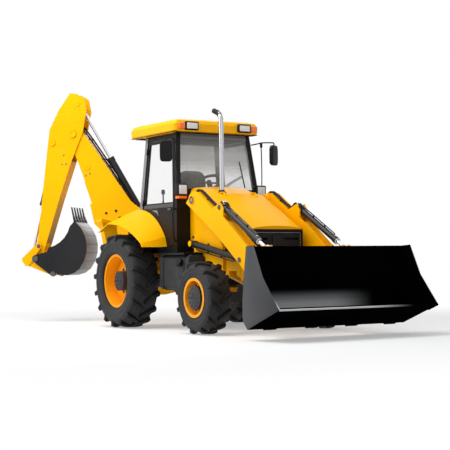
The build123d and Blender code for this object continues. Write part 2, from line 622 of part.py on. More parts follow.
def front_edge(z):
    return CAB_FRONT + (CAB_FRONT_TOP - CAB_FRONT) * (z - SILL) / (CAB_TOP - SILL)


def cab_half(z):
    return CAB_HALF + (CAB_TOP_HALF - CAB_HALF) * (z - SILL) / (CAB_TOP - SILL)


DOOR_OUTLINE = (
    (110, SILL + 40), (143, WINDOW_TOP), (front_edge(WINDOW_TOP) - PILLAR, WINDOW_TOP),
    (CAB_FRONT - PILLAR, SILL), (CAB_FRONT - PILLAR, CAB_LOW + 90), (880, CAB_LOW + 90),
    (760, 1290), (500, 1600), (330, SILL + 10),
)
DOOR_WINDOW = (
    (110 + DOOR_RAIL, SILL + 90), (140 + DOOR_RAIL, WINDOW_TOP - DOOR_RAIL),
    (front_edge(WINDOW_TOP) - PILLAR - DOOR_RAIL, WINDOW_TOP - DOOR_RAIL),
    (CAB_FRONT - PILLAR - DOOR_RAIL - 12, SILL + 90),
)


def screen_outline(low, margin):
    return (
        (-cab_half(low) + margin, low), (cab_half(low) - margin, low),
        (cab_half(WINDOW_TOP) - margin, WINDOW_TOP), (-cab_half(WINDOW_TOP) + margin, WINDOW_TOP),
    )


def hinge_planes(sign):
    """Planes square to a door's leaning hinge line, where its knuckles meet."""
    low = Vector(DOOR_HINGE_X, sign * (CAB_HALF + DOOR_HINGE_OUT), SILL)
    high = Vector(DOOR_HINGE_TOP_X, sign * (CAB_TOP_HALF + DOOR_HINGE_OUT), CAB_TOP)
    return [Plane(origin=low + (high - low) * share, x_dir=(1, 0, -0.033), z_dir=high - low) for share in (0.1, 0.8)]


def hinge_half(sign, toward, start, mode=Mode.ADD):
    """Knuckle and leaf of the door (toward = 1) or of the frame (toward = -1)."""
    for seat_plane in hinge_planes(sign):
        with BuildSketch(seat_plane.offset(start)) as section:
            Circle(DOOR_KNUCKLE_R)
            with Locations((toward * DOOR_LEAF / 2, -sign * DOOR_HINGE_OUT * 0.8)):
                Rectangle(DOOR_LEAF, DOOR_HINGE_OUT * 0.8)
        extrude(section.sketch, amount=DOOR_KNUCKLE, mode=mode)


with BuildPart() as cab_void:
    cab_block(WALL)
with BuildPart() as cab_frame:
    cab_block(0)
    add(cab_void.part, mode=Mode.SUBTRACT)
    # rear deck that closes the tub behind the seat
    with Locations(((TUB_REAR + CAB_REAR + WALL) / 2, 0, SILL - WALL / 2)):
        Box(CAB_REAR + WALL - TUB_REAR, 2 * (CAB_HALF - WALL) + 2, WALL)
    # door openings
    with BuildSketch(Plane.XZ):
        outline(*DOOR_OUTLINE)
    extrude(amount=CAB_HALF + 20, both=True, mode=Mode.SUBTRACT)
    # windscreen and rear window
    with BuildSketch(Plane.YZ.offset(500)):
        outline(*screen_outline(SCREEN_LOW, PILLAR))
    extrude(amount=700, mode=Mode.SUBTRACT)
    with BuildSketch(Plane.YZ.offset(500)):
        outline(*screen_outline(REAR_WINDOW_LOW, PILLAR))
    extrude(amount=-600, mode=Mode.SUBTRACT)
    # wheel arches in the tub's lower corners
    with BuildSketch(*pair(Plane.XZ, CAB_HALF - 10, CAB_HALF + 10)):
        with Locations((0, REAR_R)):
            Circle(REAR_R + 40)
    extrude(amount=20, mode=Mode.SUBTRACT)
    # lower halves of the door hinges, with their pins
    for sign in (-1, 1):
        hinge_half(sign, -1, -DOOR_KNUCKLE)
        with BuildSketch(*hinge_planes(sign)):
            Circle(DOOR_PIN_R)
        extrude(amount=DOOR_KNUCKLE)
save(cab_frame.part, "cab_frame")

with BuildPart() as pane_inner:
    cab_block(GLASS_IN + GLASS_T)
with BuildPart() as pane_shell:
    cab_block(GLASS_IN)
    add(pane_inner.part, mode=Mode.SUBTRACT)
for name, low, direction in (("windscreen", SCREEN_LOW, 1), ("rear_window", REAR_WINDOW_LOW, -1)):
    with BuildPart() as pane:
        add(pane_shell.part)
        with BuildSketch(Plane.YZ.offset(500)):
            outline(*screen_outline(low, PILLAR))
        extrude(amount=700 * direction, mode=Mode.INTERSECT)
    save(pane.part, name)

with BuildPart() as door_inner:
    cab_block(DOOR_T)
for side, sign in (("right", -1), ("left", 1)):
    with BuildPart() as door:
        # the cab's own skin inside the opening, less a gap all round
        cab_block(0)
        add(door_inner.part, mode=Mode.SUBTRACT)
        with BuildSketch(Plane.XZ):
            outline(*DOOR_OUTLINE)
            offset(amount=-DOOR_GAP, kind=Kind.INTERSECTION, mode=Mode.REPLACE)
        extrude(amount=-sign * (CAB_HALF + 20), mode=Mode.INTERSECT)
        with BuildSketch(Plane.XZ):
            outline(*DOOR_WINDOW)
        extrude(amount=-sign * (CAB_HALF + 20), mode=Mode.SUBTRACT)
        hinge_half(sign, 1, RUN)
        with BuildSketch(*hinge_planes(sign)):
            Circle(DOOR_PIN_R + RUN)
        extrude(amount=DOOR_KNUCKLE + 1, mode=Mode.SUBTRACT)
    save(door.part, f"door_{side}")
    with BuildPart() as door_glass:
        add(pane_shell.part)
        with BuildSketch(Plane.XZ):
            outline(*DOOR_WINDOW)
        extrude(amount=-sign * (CAB_HALF + 20), mode=Mode.INTERSECT)
    save(door_glass.part, f"door_glass_{side}")

with BuildPart() as cab_roof:
    roof_rings = []
    for z, inset in (
        (CAB_TOP, 30), (CAB_TOP + 22, 4), (ROOF_TOP - 70, 0), (ROOF_TOP - 22, 26), (ROOF_TOP, 80),
    ):
        with BuildSketch(Plane.XY.offset(z)) as ring:
            with Locations(((ROOF_REAR + ROOF_FRONT) / 2, 0)):
                RectangleRounded(ROOF_FRONT - ROOF_REAR - 2 * inset, 2 * (ROOF_HALF - inset), ROOF_CORNER)
        roof_rings.append(ring.sketch.face())
    loft(roof_rings, ruled=True)
    # headroom over the cab's open top
    with BuildSketch(Plane.XY.offset(CAB_TOP)) as headroom:
        with Locations(((CAB_REAR_TOP + CAB_FRONT_TOP) / 2, 0)):
            Rectangle(CAB_FRONT_TOP - CAB_REAR_TOP - 2 * WALL, 2 * (CAB_TOP_HALF - WALL))
    extrude(headroom.sketch, amount=ROOF_TOP - CAB_TOP - WALL, mode=Mode.SUBTRACT)
save(cab_roof.part, "cab_roof")

with BuildPart() as seat:
    with BuildSketch(Plane.XZ):
        with Locations((520, 1560)):
            RectangleRounded(460, 150, 50)
        with Locations((300, 1930)):
            RectangleRounded(120, 620, 50)
    extrude(amount=225, both=True)
    with Locations((520, 0, (CAB_LOW + WALL + 1485) / 2)):
        Cylinder(110, 1485 - CAB_LOW - WALL)
save(seat.part, "seat")

with BuildPart() as controls:
    # dash and steering column
    with Locations((920, 0, (CAB_LOW + WALL + 1900) / 2)):
        Box(150, 380, 1900 - CAB_LOW - WALL)
    with BuildSketch(Plane(origin=(900, 0, 1850), x_dir=(0, 1, 0), z_dir=(-0.5, 0, 0.87))):
        Circle(35)
    extrude(amount=215)
    with Locations(Plane(origin=(793, 0, 2037), x_dir=(0, 1, 0), z_dir=(-0.5, 0, 0.87))):
        Cylinder(200, 26)
        Cylinder(172, 26, mode=Mode.SUBTRACT)
        Box(360, 24, 14)
        Cylinder(38, 30)
    # side console with the arm's control lever
    with Locations((330, -520, (CAB_LOW + WALL + 1690) / 2)):
        Box(420, 220, 1690 - CAB_LOW - WALL)
    with Locations((300, -470, 1790)):
        Cylinder(10, 210)
    with Locations((300, -470, 1915)):
        Cylinder(26, 44)
save(controls.part, "controls")

with BuildPart() as lamps:
    for sign in (-1, 1):
        # work lamp let into the roof's brow
        with Locations((ROOF_FRONT + 10, sign * WORK_LAMP_Y, CAB_TOP + 85)):
            Box(60, WORK_LAMP_W, WORK_LAMP_H)
        # head lamp on a bracket on the cab's front corner
        with Locations((CAB_FRONT + 40, sign * HEAD_LAMP_Y, HEAD_LAMP_Z)):
            Box(HEAD_LAMP_DEEP, HEAD_LAMP, HEAD_LAMP)
        with Locations((CAB_FRONT - 20, sign * HEAD_LAMP_Y, HEAD_LAMP_Z - 40)):
            Box(50, 70, 80)
    add(cab_roof.part, mode=Mode.SUBTRACT)
    add(cab_frame.part, mode=Mode.SUBTRACT)
save(lamps.part, "lamps")

with BuildPart() as indicators:
    for sign in (-1, 1):
        # amber lamp at the brow's corner and under the head lamp
        with Locations((ROOF_FRONT + 14, sign * INDICATOR_Y, CAB_TOP + 80)):
            Box(68, INDICATOR_W, INDICATOR_H)
        with Locations((CAB_FRONT + 40, sign * HEAD_LAMP_Y, HEAD_LAMP_Z - HEAD_LAMP / 2 - 22)):
            Box(HEAD_LAMP_DEEP - 10, HEAD_LAMP - 20, 44)
    add(cab_roof.part, mode=Mode.SUBTRACT)
save(indicators.part, "indicators")

with BuildPart() as mirrors:
    for sign in (-1, 1):
        # head turned in towards the driver
        toed = Plane(
            origin=(MIRROR[0], sign * MIRROR[1], MIRROR[2]),
            x_dir=(-sin(radians(MIRROR_TURN)), sign * cos(radians(MIRROR_TURN)), 0),
            z_dir=(cos(radians(MIRROR_TURN)), sign * sin(radians(MIRROR_TURN)), 0),
        )
        with BuildSketch(toed) as head:
            RectangleRounded(MIRROR_W, MIRROR_H, 55)
        extrude(head.sketch, amount=MIRROR_T / 2, both=True)
        # stalk down into the head, arm from the pillar and stay down to the head lamp
        knee = Vector(MIRROR[0], sign * MIRROR[1], MIRROR[2] + MIRROR_H / 2 + 30)
        root = Vector(front_edge(knee.Z - 20) - 20, sign * (cab_half(knee.Z - 20) - 10), knee.Z - 20)
        foot = Vector(CAB_FRONT + 40, sign * (HEAD_LAMP_Y + 40), HEAD_LAMP_Z + HEAD_LAMP / 2 - 6)
        elbow = root + (knee - root) * 0.55
        for start, end in ((knee, knee - Vector(0, 0, 60)), (root, knee), (foot, elbow)):
            with BuildSketch(Plane(origin=start, z_dir=end - start)) as rod:
                Circle(STALK_R)
            extrude(rod.sketch, amount=(end - start).length)
    add(cab_frame.part, mode=Mode.SUBTRACT)
    add(lamps.part, mode=Mode.SUBTRACT)
save(mirrors.part, "mirrors")


# ---------------------------------------------------------------- tanks and steps
for side, sign in (("right", -1), ("left", 1)):
    with BuildPart() as tank:
        with BuildSketch(Plane.YZ.offset(TANK_REAR)):
            with Locations((sign * (TOWER_OUT + RUN + TANK_OUT) / 2, (TANK_LOW + TANK_TOP) / 2)):
                RectangleRounded(TANK_OUT - TOWER_OUT - RUN, TANK_TOP - TANK_LOW, 70)
        extrude(amount=TANK_FRONT - TANK_REAR)
    save(tank.part, f"tank_{side}")

with BuildPart() as steps:
    for sign in (-1, 1):
        with Locations((1130, sign * (TOWER_OUT + RUN + 820) / 2, (TANK_TOP + CAB_LOW) / 2)):
            Box(700, 820 - TOWER_OUT - RUN, CAB_LOW - TANK_TOP)
save(steps.part, "steps")


# ---------------------------------------------------------------- loader
with BuildPart() as loader_arms:
    # each arm: a deep bent box, open below where the lift ram enters
    arm_outline = (
        (1300, 1715), (1470, 1862), (1560, 1856), (1960, 1612), (2060, 1640), (2170, 1680), (2240, 1600),
        (2240, 1500), (2780, 1125), (3200, 760), (3432, 367), (3345, 285), (2640, 872), (2090, 1255),
    )
    with BuildSketch(*pair(SIDE, ARM_IN, ARM_OUT)):
        outline(*arm_outline)
        with Locations(BUCKET_PIN):
            Circle(ARM_END_R)
    extrude(amount=ARM_OUT - ARM_IN)
    # between an arm's plates: room for the lift ram's eye below, the lever and its hub, the tilt ram's
    # base, and the trough that the tilt ram sinks into as the bucket tips
    with BuildSketch(*pair(SIDE, ARM_IN + ARM_PLATE, ARM_OUT - ARM_PLATE)):
        outline((2150, 1100), (2300, 1340), (2850, 985), (2850, 600), (2150, 900))
        outline((2905, 760), (3060, 440), (3345, 490), (3345, 1100), (2905, 1100))
        outline((2040, 1545), (2300, 1420), (2300, 1800), (2040, 1800))
        outline((2240, 1484), (2910, 954), (2910, 1200), (2240, 1800))
    extrude(amount=ARM_OUT - ARM_IN - 2 * ARM_PLATE, mode=Mode.SUBTRACT)
    # bosses and bores
    for point, radius in ((ARM_HINGE, 95), (LIFT_EYE, 50)):
        tube_pair(SIDE, point, radius, ARM_OUT - ARM_PLATE, ARM_OUT)
    tube_pair(SIDE, BUCKET_PIN, WORK_PIN_R + RUN, ARM_IN - 1, ARM_OUT + 1, mode=Mode.SUBTRACT)
    tube_pair(SIDE, ARM_HINGE, HINGE_PIN_R + RUN, ARM_IN - 1, ARM_OUT + 1, mode=Mode.SUBTRACT)
    tube_pair(SIDE, LEVER_PIN, WORK_PIN_R, ARM_IN, ARM_OUT)
    tube_pair(SIDE, TILT_BASE, TILT.pin_r, ARM_IN, ARM_OUT)
    # torque tube between the arms
    pin(SIDE, TORQUE_TUBE, TORQUE_TUBE_R, ARM_IN + 4)
save(loader_arms.part, "loader_arms")

with BuildPart() as loader_bucket:
    with BuildSketch(SIDE):
        with BuildLine():
            Polyline(BUCKET_TOP_FRONT, BUCKET_TOP_REAR, BUCKET_BACK)
            ThreePointArc(BUCKET_BACK, HEEL_BEND, HEEL)
            Line(HEEL, LIP)
            ThreePointArc(LIP, SIDE_HOLLOW, BUCKET_TOP_FRONT)
        make_face()
    extrude(amount=BUCKET_HALF, both=True)
    # lugs for the arms and the tipping links, on the back
    for inner, outer in ((ARM_IN - LUG_T - 5, ARM_IN - 5), (ARM_OUT + 5, ARM_OUT + LUG_T + 5)):
        with BuildSketch(*pair(SIDE, inner, outer)):
            discs((*BUCKET_PIN, 56), (3490, 520, 20), (3530, 210, 20))
        extrude(amount=outer - inner)
    for inner, outer in ((ARM_MID - LINK_IN + 4, ARM_MID - 25), (ARM_MID + 25, ARM_MID + LINK_IN - 4)):
        with BuildSketch(*pair(SIDE, inner, outer)):
            discs((*BUCKET_LINK, 40), (3550, 930, 12), (3500, 660, 12))
        extrude(amount=outer - inner)
    # inside of the shell, open to the front
    back_x, heel_x = BUCKET_TOP_REAR[0] + SHEET, HEEL[0] + 6
    with BuildSketch(SIDE):
        with BuildLine():
            Polyline((back_x, 1400), (back_x, BUCKET_TOP_REAR[1]), (BUCKET_BACK[0] + SHEET, BUCKET_BACK[1]))
            ThreePointArc(
                (BUCKET_BACK[0] + SHEET, BUCKET_BACK[1]), (HEEL_BEND[0] + SHEET, HEEL_BEND[1] + 4),
                (heel_x, HEEL[1] + SHEET + 6),
            )
            Polyline(
                (heel_x, HEEL[1] + SHEET + 6), (LIP[0] + 40, LIP[1] + 30), (LIP[0] + 40, 1400), (back_x, 1400),
            )
        make_face()
    extrude(amount=BUCKET_HALF - SIDE_T, both=True, mode=Mode.SUBTRACT)
    # stiff rail along the top
    with BuildSketch(SIDE):
        outline(BUCKET_TOP_REAR, (BUCKET_TOP_REAR[0] + 70, BUCKET_TOP_REAR[1]),
                (BUCKET_TOP_REAR[0] + 60, 1040), (BUCKET_TOP_REAR[0] - 10, 1020))
    extrude(amount=BUCKET_HALF - SIDE_T, both=True)
    # wear pads under the heel and the thick cutting edge along the lip
    floor_x, floor_z = unit(HEEL, LIP)
    floor_length = hypot(LIP[0] - HEEL[0], LIP[1] - HEEL[1])

    def floor_strip(start, end, drop):
        """Strip hanging under the floor between two distances from the heel."""
        top = [(HEEL[0] + floor_x * reach, HEEL[1] + floor_z * reach) for reach in (start, end)]
        outline(*top, *[(x + floor_z * drop, z - floor_x * drop) for x, z in reversed(top)])

    with BuildSketch(*[SIDE.offset(y - PAD_W / 2) for y in PAD_Y]):
        floor_strip(40, 340, PAD_T)
    extrude(amount=PAD_W)
    with BuildSketch(SIDE):
        floor_strip(floor_length - EDGE_W, floor_length - 4, EDGE_T - SHEET)
    extrude(amount=BUCKET_HALF, both=True)
    tube_pair(SIDE, BUCKET_PIN, WORK_PIN_R, ARM_IN - LUG_T - 15, ARM_OUT + LUG_T + 15)
    tube_pair(SIDE, BUCKET_LINK, 22, ARM_MID - LINK_OUT - 8, ARM_MID + LINK_OUT + 8)
save(loader_bucket.part, "loader_bucket")

with BuildPart() as lift_barrels:
    for y in (-ARM_MID, ARM_MID):
        ram_barrel(LIFT, SIDE.offset(y))
save(lift_barrels.part, "lift_barrels")
with BuildPart() as lift_rods:
    for y in (-ARM_MID, ARM_MID):
        ram_rod(LIFT, SIDE.offset(y))
save(lift_rods.part, "lift_rods")
with BuildPart() as tilt_barrels:
    for y in (-ARM_MID, ARM_MID):
        ram_barrel(TILT, SIDE.offset(y))
save(tilt_barrels.part, "tilt_barrels")
with BuildPart() as tilt_rods:
    for y in (-ARM_MID, ARM_MID):
        ram_rod(TILT, SIDE.offset(y))
save(tilt_rods.part, "tilt_rods")

with BuildPart() as tilt_levers:
    for y in (-ARM_MID, ARM_MID):
        with BuildSketch(*pair(SIDE.offset(y), LEVER_IN, LEVER_OUT)):
            discs((*LEVER_PIN, 52), (*LEVER_TOP, 40))
            with Locations(LEVER_PIN):
                Circle(WORK_PIN_R + RUN, mode=Mode.SUBTRACT)
        extrude(amount=LEVER_OUT - LEVER_IN)
        with BuildSketch(SIDE.offset(y)):
            with Locations(LEVER_PIN):
                Circle(52)
                Circle(WORK_PIN_R + RUN, mode=Mode.SUBTRACT)
        extrude(amount=LEVER_IN + 1, both=True)
        tube_pair(SIDE.offset(y), LEVER_TOP, 22, LEVER_OUT - 1, LINK_OUT + 8)
save(tilt_levers.part, "tilt_levers")

with BuildPart() as tilt_links:
    for y in (-ARM_MID, ARM_MID):
        with BuildSketch(*pair(SIDE.offset(y), LINK_IN, LINK_OUT)):
            discs((*LEVER_TOP, 40), (*BUCKET_LINK, 40))
            with Locations(LEVER_TOP, BUCKET_LINK):
                Circle(22 + RUN, mode=Mode.SUBTRACT)
        extrude(amount=LINK_OUT - LINK_IN)
save(tilt_links.part, "tilt_links")


# ---------------------------------------------------------------- rear frame, stabilisers, kingpost
with BuildPart() as rear_frame:
    with BuildSketch(Plane.YZ.offset(RAIL_REAR - FRAME_T)):
        outline((-FRAME_HALF, FRAME_LOW + 60), (-300, FRAME_LOW), (300, FRAME_LOW), (FRAME_HALF, FRAME_LOW + 60),
                (FRAME_HALF, 900), (360, FRAME_TOP), (-360, FRAME_TOP), (-FRAME_HALF, 900))
    extrude(amount=FRAME_T)
    for z in (KING_LOW - KING_LUG_T - 5, KING_TOP + 5):
        with BuildSketch(Plane.XY.offset(z)):
            discs((KING_X, 0, KING_LUG_R), (RAIL_REAR - FRAME_T + 20, -170, 20), (RAIL_REAR - FRAME_T + 20, 170, 20))
        extrude(amount=KING_LUG_T)
    with Locations((KING_X, 0, (KING_LOW + KING_TOP) / 2)):
        Cylinder(KING_PIN_R, KING_TOP - KING_LOW + 2 * KING_LUG_T + 20)
    # stabiliser pivots ahead of the frame plate
    for sign in (-1, 1):
        with Locations((RAIL_REAR + 14, sign * LEG_PIVOT_Y, LEG_PIVOT_Z)):
            Box(28, 150, 170)
        with BuildSketch(Plane.YZ.offset(RAIL_REAR)):
            with Locations((sign * LEG_PIVOT_Y, LEG_PIVOT_Z)):
                Circle(30)
        extrude(amount=LEG_X + LEG_HALF + 12 - RAIL_REAR)
save(rear_frame.part, "rear_frame")

for side, sign in (("right", -1), ("left", 1)):
    with BuildPart() as stabiliser:
        with BuildSketch(Plane.YZ.offset(LEG_X - LEG_HALF)):
            outline(
                (sign * 480, 640), (sign * 620, 1490), (sign * 856, 1536), (sign * 785, 1206),
                (sign * 690, 820), (sign * 640, 600),
            )
            with Locations((sign * LEG_PIVOT_Y, LEG_PIVOT_Z)):
                Circle(85)
                Circle(30 + RUN, mode=Mode.SUBTRACT)
        extrude(amount=2 * LEG_HALF)
        # foot pad across the end
        with BuildSketch(Plane.YZ.offset(LEG_X - 90)):
            outline((sign * 600, 1482), (sign * 590, 1522), (sign * 880, 1582), (sign * 888, 1537))
        extrude(amount=190)
    save(stabiliser.part, f"stabiliser_{side}")

with BuildPart() as kingpost:
    with BuildSketch(Plane.XY.offset(KING_LOW)):
        with Locations(Plane((KING_X, 0, 0), x_dir=SLEW.x_dir, z_dir=(0, 0, 1))):
            RectangleRounded(200, 2 * KING_OUT, 40)
    extrude(amount=KING_TOP - KING_LOW)
    with BuildSketch(*pair(SLEW, KING_IN, KING_OUT)):
        discs((0, 660, 95), (0, 1140, 95), (*FOOT, 85), (*BOOM_RAM_BASE, 75))
    extrude(amount=KING_OUT - KING_IN)
    pin(SLEW, FOOT, 30, KING_OUT + 10)
    pin(SLEW, BOOM_RAM_BASE, BOOM_RAM.pin_r, KING_OUT + 6)
    with Locations((KING_X, 0, (KING_LOW + KING_TOP) / 2)):
        Cylinder(KING_PIN_R + RUN, 900, mode=Mode.SUBTRACT)
save(kingpost.part, "kingpost")


# ---------------------------------------------------------------- digging arm
with BuildPart() as boom:
    with BuildSketch(*pair(SLEW, BOOM_IN, BOOM_OUT)):
        outline(
            (FOOT[0] - 85, FOOT[1]), (FOOT[0] - 70, FOOT[1] + 330), (160, 1230), (140, 1400), (20, 1560),
            (-100, 1640), (-120, 1740), (-20, 1790), (90, 1880), (240, 2090), (560, 2550), (905, 3020),
            (1010, 3060), (1110, 3010), (1110, 2900), (950, 2500),
            (840, 2200), (725, 1860), (765, 1850), (690, 1530), (600, 1450), (420, 900), (FOOT[0] + 85, FOOT[1]),
        )
        with Locations(FOOT):
            Circle(85)
        with Locations(ELBOW):
            Circle(100)
        with Locations(DIPPER_RAM_BASE):
            Circle(72)
    extrude(amount=BOOM_OUT - BOOM_IN)
    # top flange, foot tube and elbow tube between the side plates
    with BuildSketch(SLEW):
        outline((242, 2088), (562, 2548), (907, 3016), (925, 3004), (576, 2536), (256, 2077))
        outline((838, 2204), (722, 1868), (742, 1868), (856, 2198))
        with Locations(FOOT):
            Circle(85)
        with Locations(ELBOW):
            Circle(80)
    extrude(amount=BOOM_IN + 1, both=True)
    pin(SLEW, FOOT, 30 + RUN, BOOM_OUT + 1, mode=Mode.SUBTRACT)
    pin(SLEW, ELBOW, 35, DIPPER_OUT + 12)
    pin(SLEW, DIPPER_RAM_BASE, DIPPER_RAM.pin_r, BOOM_OUT + 6)
save(boom.part, "boom")

with BuildPart() as dipper:
    with BuildSketch(*pair(SLEW, DIPPER_IN, DIPPER_OUT)):
        outline(
            (1070, 3610), (950, 3590), (840, 3520), (800, 3330), (870, 2970), (1050, 2550), (1270, 1920),
            (1500, 1200), (1565, 1000), (1715, 1000), (1630, 1300), (1470, 2640), (1420, 3040), (1260, 3350),
        )
        with Locations(DIG_PIN):
            Circle(75)
    extrude(amount=DIPPER_OUT - DIPPER_IN)
    # closing plates: outer upper, inner lower, the ram's channel and the end tube
    with BuildSketch(SLEW):
        outline((1145, 3508), (1262, 3350), (1415, 3060), (1400, 3055), (1248, 3342), (1135, 3490))
        outline((1062, 2530), (1272, 1922), (1490, 1240), (1505, 1245), (1288, 1926), (1078, 2534))
        outline((1300, 2640), (1490, 1400), (1505, 1402), (1316, 2642))
        with Locations(DIG_PIN):
            Circle(75)
    extrude(amount=DIPPER_IN + 1, both=True)
    pin(SLEW, ELBOW, 35 + RUN, DIPPER_OUT + 1, mode=Mode.SUBTRACT)
    pin(SLEW, DIG_RAM_BASE, DIG_RAM.pin_r, DIPPER_OUT + 6)
    pin(SLEW, DIG_PIN, 30 + RUN, DIPPER_OUT + 1, mode=Mode.SUBTRACT)
    pin(SLEW, TIP_PIVOT, 22, TIP_LEVER_OUT + 1)
save(dipper.part, "dipper")

for name, ram in (("boom_ram", BOOM_RAM), ("dipper_ram", DIPPER_RAM), ("dig_ram", DIG_RAM)):
    with BuildPart() as barrel:
        ram_barrel(ram, SLEW)
    save(barrel.part, f"{name}_barrel")
    with BuildPart() as rod:
        ram_rod(ram, SLEW)
    save(rod.part, f"{name}_rod")

with BuildPart() as tip_lever:
    with BuildSketch(*pair(SLEW, TIP_LEVER_IN, TIP_LEVER_OUT)):
        discs((*TIP_PIVOT, 45), (*DIG_RAM_EYE, 45), (*TIP_NOSE, TIP_NOSE_R))
        with Locations(TIP_PIVOT):
            Circle(22 + RUN, mode=Mode.SUBTRACT)
    extrude(amount=TIP_LEVER_OUT - TIP_LEVER_IN)
save(tip_lever.part, "tip_lever")

with BuildPart() as tip_link:
    with BuildSketch(*pair(SLEW, TIP_LINK_IN, TIP_LINK_OUT)):
        discs((*DIG_RAM_EYE, 35), (*TIP_BUCKET, 35))
        with Locations(TIP_BUCKET):
            Circle(22 + RUN, mode=Mode.SUBTRACT)
    extrude(amount=TIP_LINK_OUT - TIP_LINK_IN)
save(tip_link.part, "tip_link")

# mouth side of the bucket's outline, and its back as two stretches of sheet bent in flats
MOUTH = ((1475, 932), (1400, 1170), (1300, 1200))
MOUTH_HOLLOW = ((1300, 1200), (1135, 1320), (1040, 1500))
DIG_LIP = ((965, 1580), (945, 1572))
with BuildPart() as dig_bucket:
    with BuildSketch(SLEW):
        outline(
            *MOUTH, *bent(*MOUTH_HOLLOW, 4)[1:], *DIG_LIP, *bent(DIG_LIP[1], (762, 1160), (880, 840), 6)[1:],
            *bent((880, 840), (1090, 735), (1310, 790), 4)[1:],
        )
    extrude(amount=DIG_HALF, both=True)
    # ears to the dipper and link pins
    with BuildSketch(*pair(SLEW, EAR_IN, EAR_OUT)):
        discs((*DIG_PIN, 60), (*TIP_BUCKET, 42), (1400, 900, 20), (1390, 1100, 20))
    extrude(amount=EAR_OUT - EAR_IN)
    # inside, open at the mouth
    with BuildSketch(SLEW):
        outline(
            (1452, 932), (1385, 1400), (965, 1640), *bent((957, 1560), (776, 1160), (890, 852), 6),
            *bent((890, 852), (1090, 751), (1302, 806), 4)[1:],
        )
    extrude(amount=DIG_HALF - DIG_SHEET, both=True, mode=Mode.SUBTRACT)
    pin(SLEW, DIG_PIN, 30, EAR_OUT + 10)
    pin(SLEW, TIP_BUCKET, 22, EAR_OUT + 8)
    # teeth along the lip, each a shank and a thinner point
    pitch = (2 * DIG_HALF - TOOTH_W) / (TEETH - 1)
    for width, profile in (
        (TOOTH_W, ((928, 1500), (962, 1488), (996, 1690), (986, 1694), (938, 1590))),
        (TOOTH_W - 14, ((968, 1640), (990, 1640), (1020, 1800), (1008, 1800))),
    ):
        with BuildSketch(*[SLEW.offset(-DIG_HALF + TOOTH_W / 2 - width / 2 + pitch * i) for i in range(TEETH)]):
            outline(*profile)
        extrude(amount=width)
save(dig_bucket.part, "dig_bucket")
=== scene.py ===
"""Backhoe loader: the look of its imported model, section by section as the machine is put together."""
import json
import math

import bpy
from mathutils import Matrix, Vector


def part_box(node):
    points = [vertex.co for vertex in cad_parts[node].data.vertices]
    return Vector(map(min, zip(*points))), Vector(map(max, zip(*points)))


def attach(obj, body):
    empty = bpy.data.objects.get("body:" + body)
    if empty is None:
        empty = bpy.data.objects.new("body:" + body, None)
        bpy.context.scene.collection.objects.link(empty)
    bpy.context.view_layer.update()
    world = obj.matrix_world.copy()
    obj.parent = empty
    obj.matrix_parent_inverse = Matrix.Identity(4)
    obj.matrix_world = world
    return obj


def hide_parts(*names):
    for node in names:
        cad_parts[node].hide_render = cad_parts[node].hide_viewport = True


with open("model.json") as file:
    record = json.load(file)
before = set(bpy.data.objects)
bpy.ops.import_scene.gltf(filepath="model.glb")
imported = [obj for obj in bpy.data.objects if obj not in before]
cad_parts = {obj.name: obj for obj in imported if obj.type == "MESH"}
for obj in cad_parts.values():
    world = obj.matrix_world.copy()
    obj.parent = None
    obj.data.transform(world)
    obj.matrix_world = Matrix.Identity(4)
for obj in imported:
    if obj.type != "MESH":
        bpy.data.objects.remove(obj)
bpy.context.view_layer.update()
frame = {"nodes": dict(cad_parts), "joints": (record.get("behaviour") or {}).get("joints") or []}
bpy.ops.object.select_all(action="DESELECT")

# ---------------------------------------------------------------- studio and camera
# A pale, even studio: a broad soft light overhead and weaker ones from the side, the front and the rear.
# The floor is matt under the machine and glows out to white a few metres off, like the backdrop.
pivot = {joint["name"]: Vector(joint["pos_m"]) for joint in frame["joints"] if "pos_m" in joint}
home = (pivot["wheel_rear_right_spin"] + pivot["wheel_rear_left_spin"]) / 2
home.z = 0                           # the point on the ground under the middle of the rear axle

camera_place = Vector((15.372, -8.794, 0.945))
heading, climb, roll = 148.166, 1.661, -0.697        # in degrees
camera_data = bpy.data.cameras.new("camera")
camera_data.lens, camera_data.sensor_width = 96.44, 36
camera = bpy.data.objects.new("camera", camera_data)
camera.matrix_world = (
    Matrix.Translation(home + camera_place) @ Matrix.Rotation(math.radians(heading - 90), 4, "Z")
    @ Matrix.Rotation(math.radians(90 + climb), 4, "X") @ Matrix.Rotation(math.radians(roll), 4, "Z")
)
bpy.context.scene.collection.objects.link(camera)
bpy.context.scene.camera = camera
bpy.context.scene.view_settings.view_transform = "Standard"


def feed(tree, node, into):
    """Give named inputs of a shader node their links or plain values."""
    for key, value in into.items():
        if isinstance(value, bpy.types.NodeSocket):
            tree.links.new(value, node.inputs[key])
        else:
            node.inputs[key].default_value = value


def wired(tree, kind, into=None, **settings):
    """New shader node with its settings, and its inputs fed."""
    node = tree.nodes.new(f"ShaderNode{kind}")
    for key, value in settings.items():
        setattr(node, key, value)
    feed(tree, node, into or {})
    return node


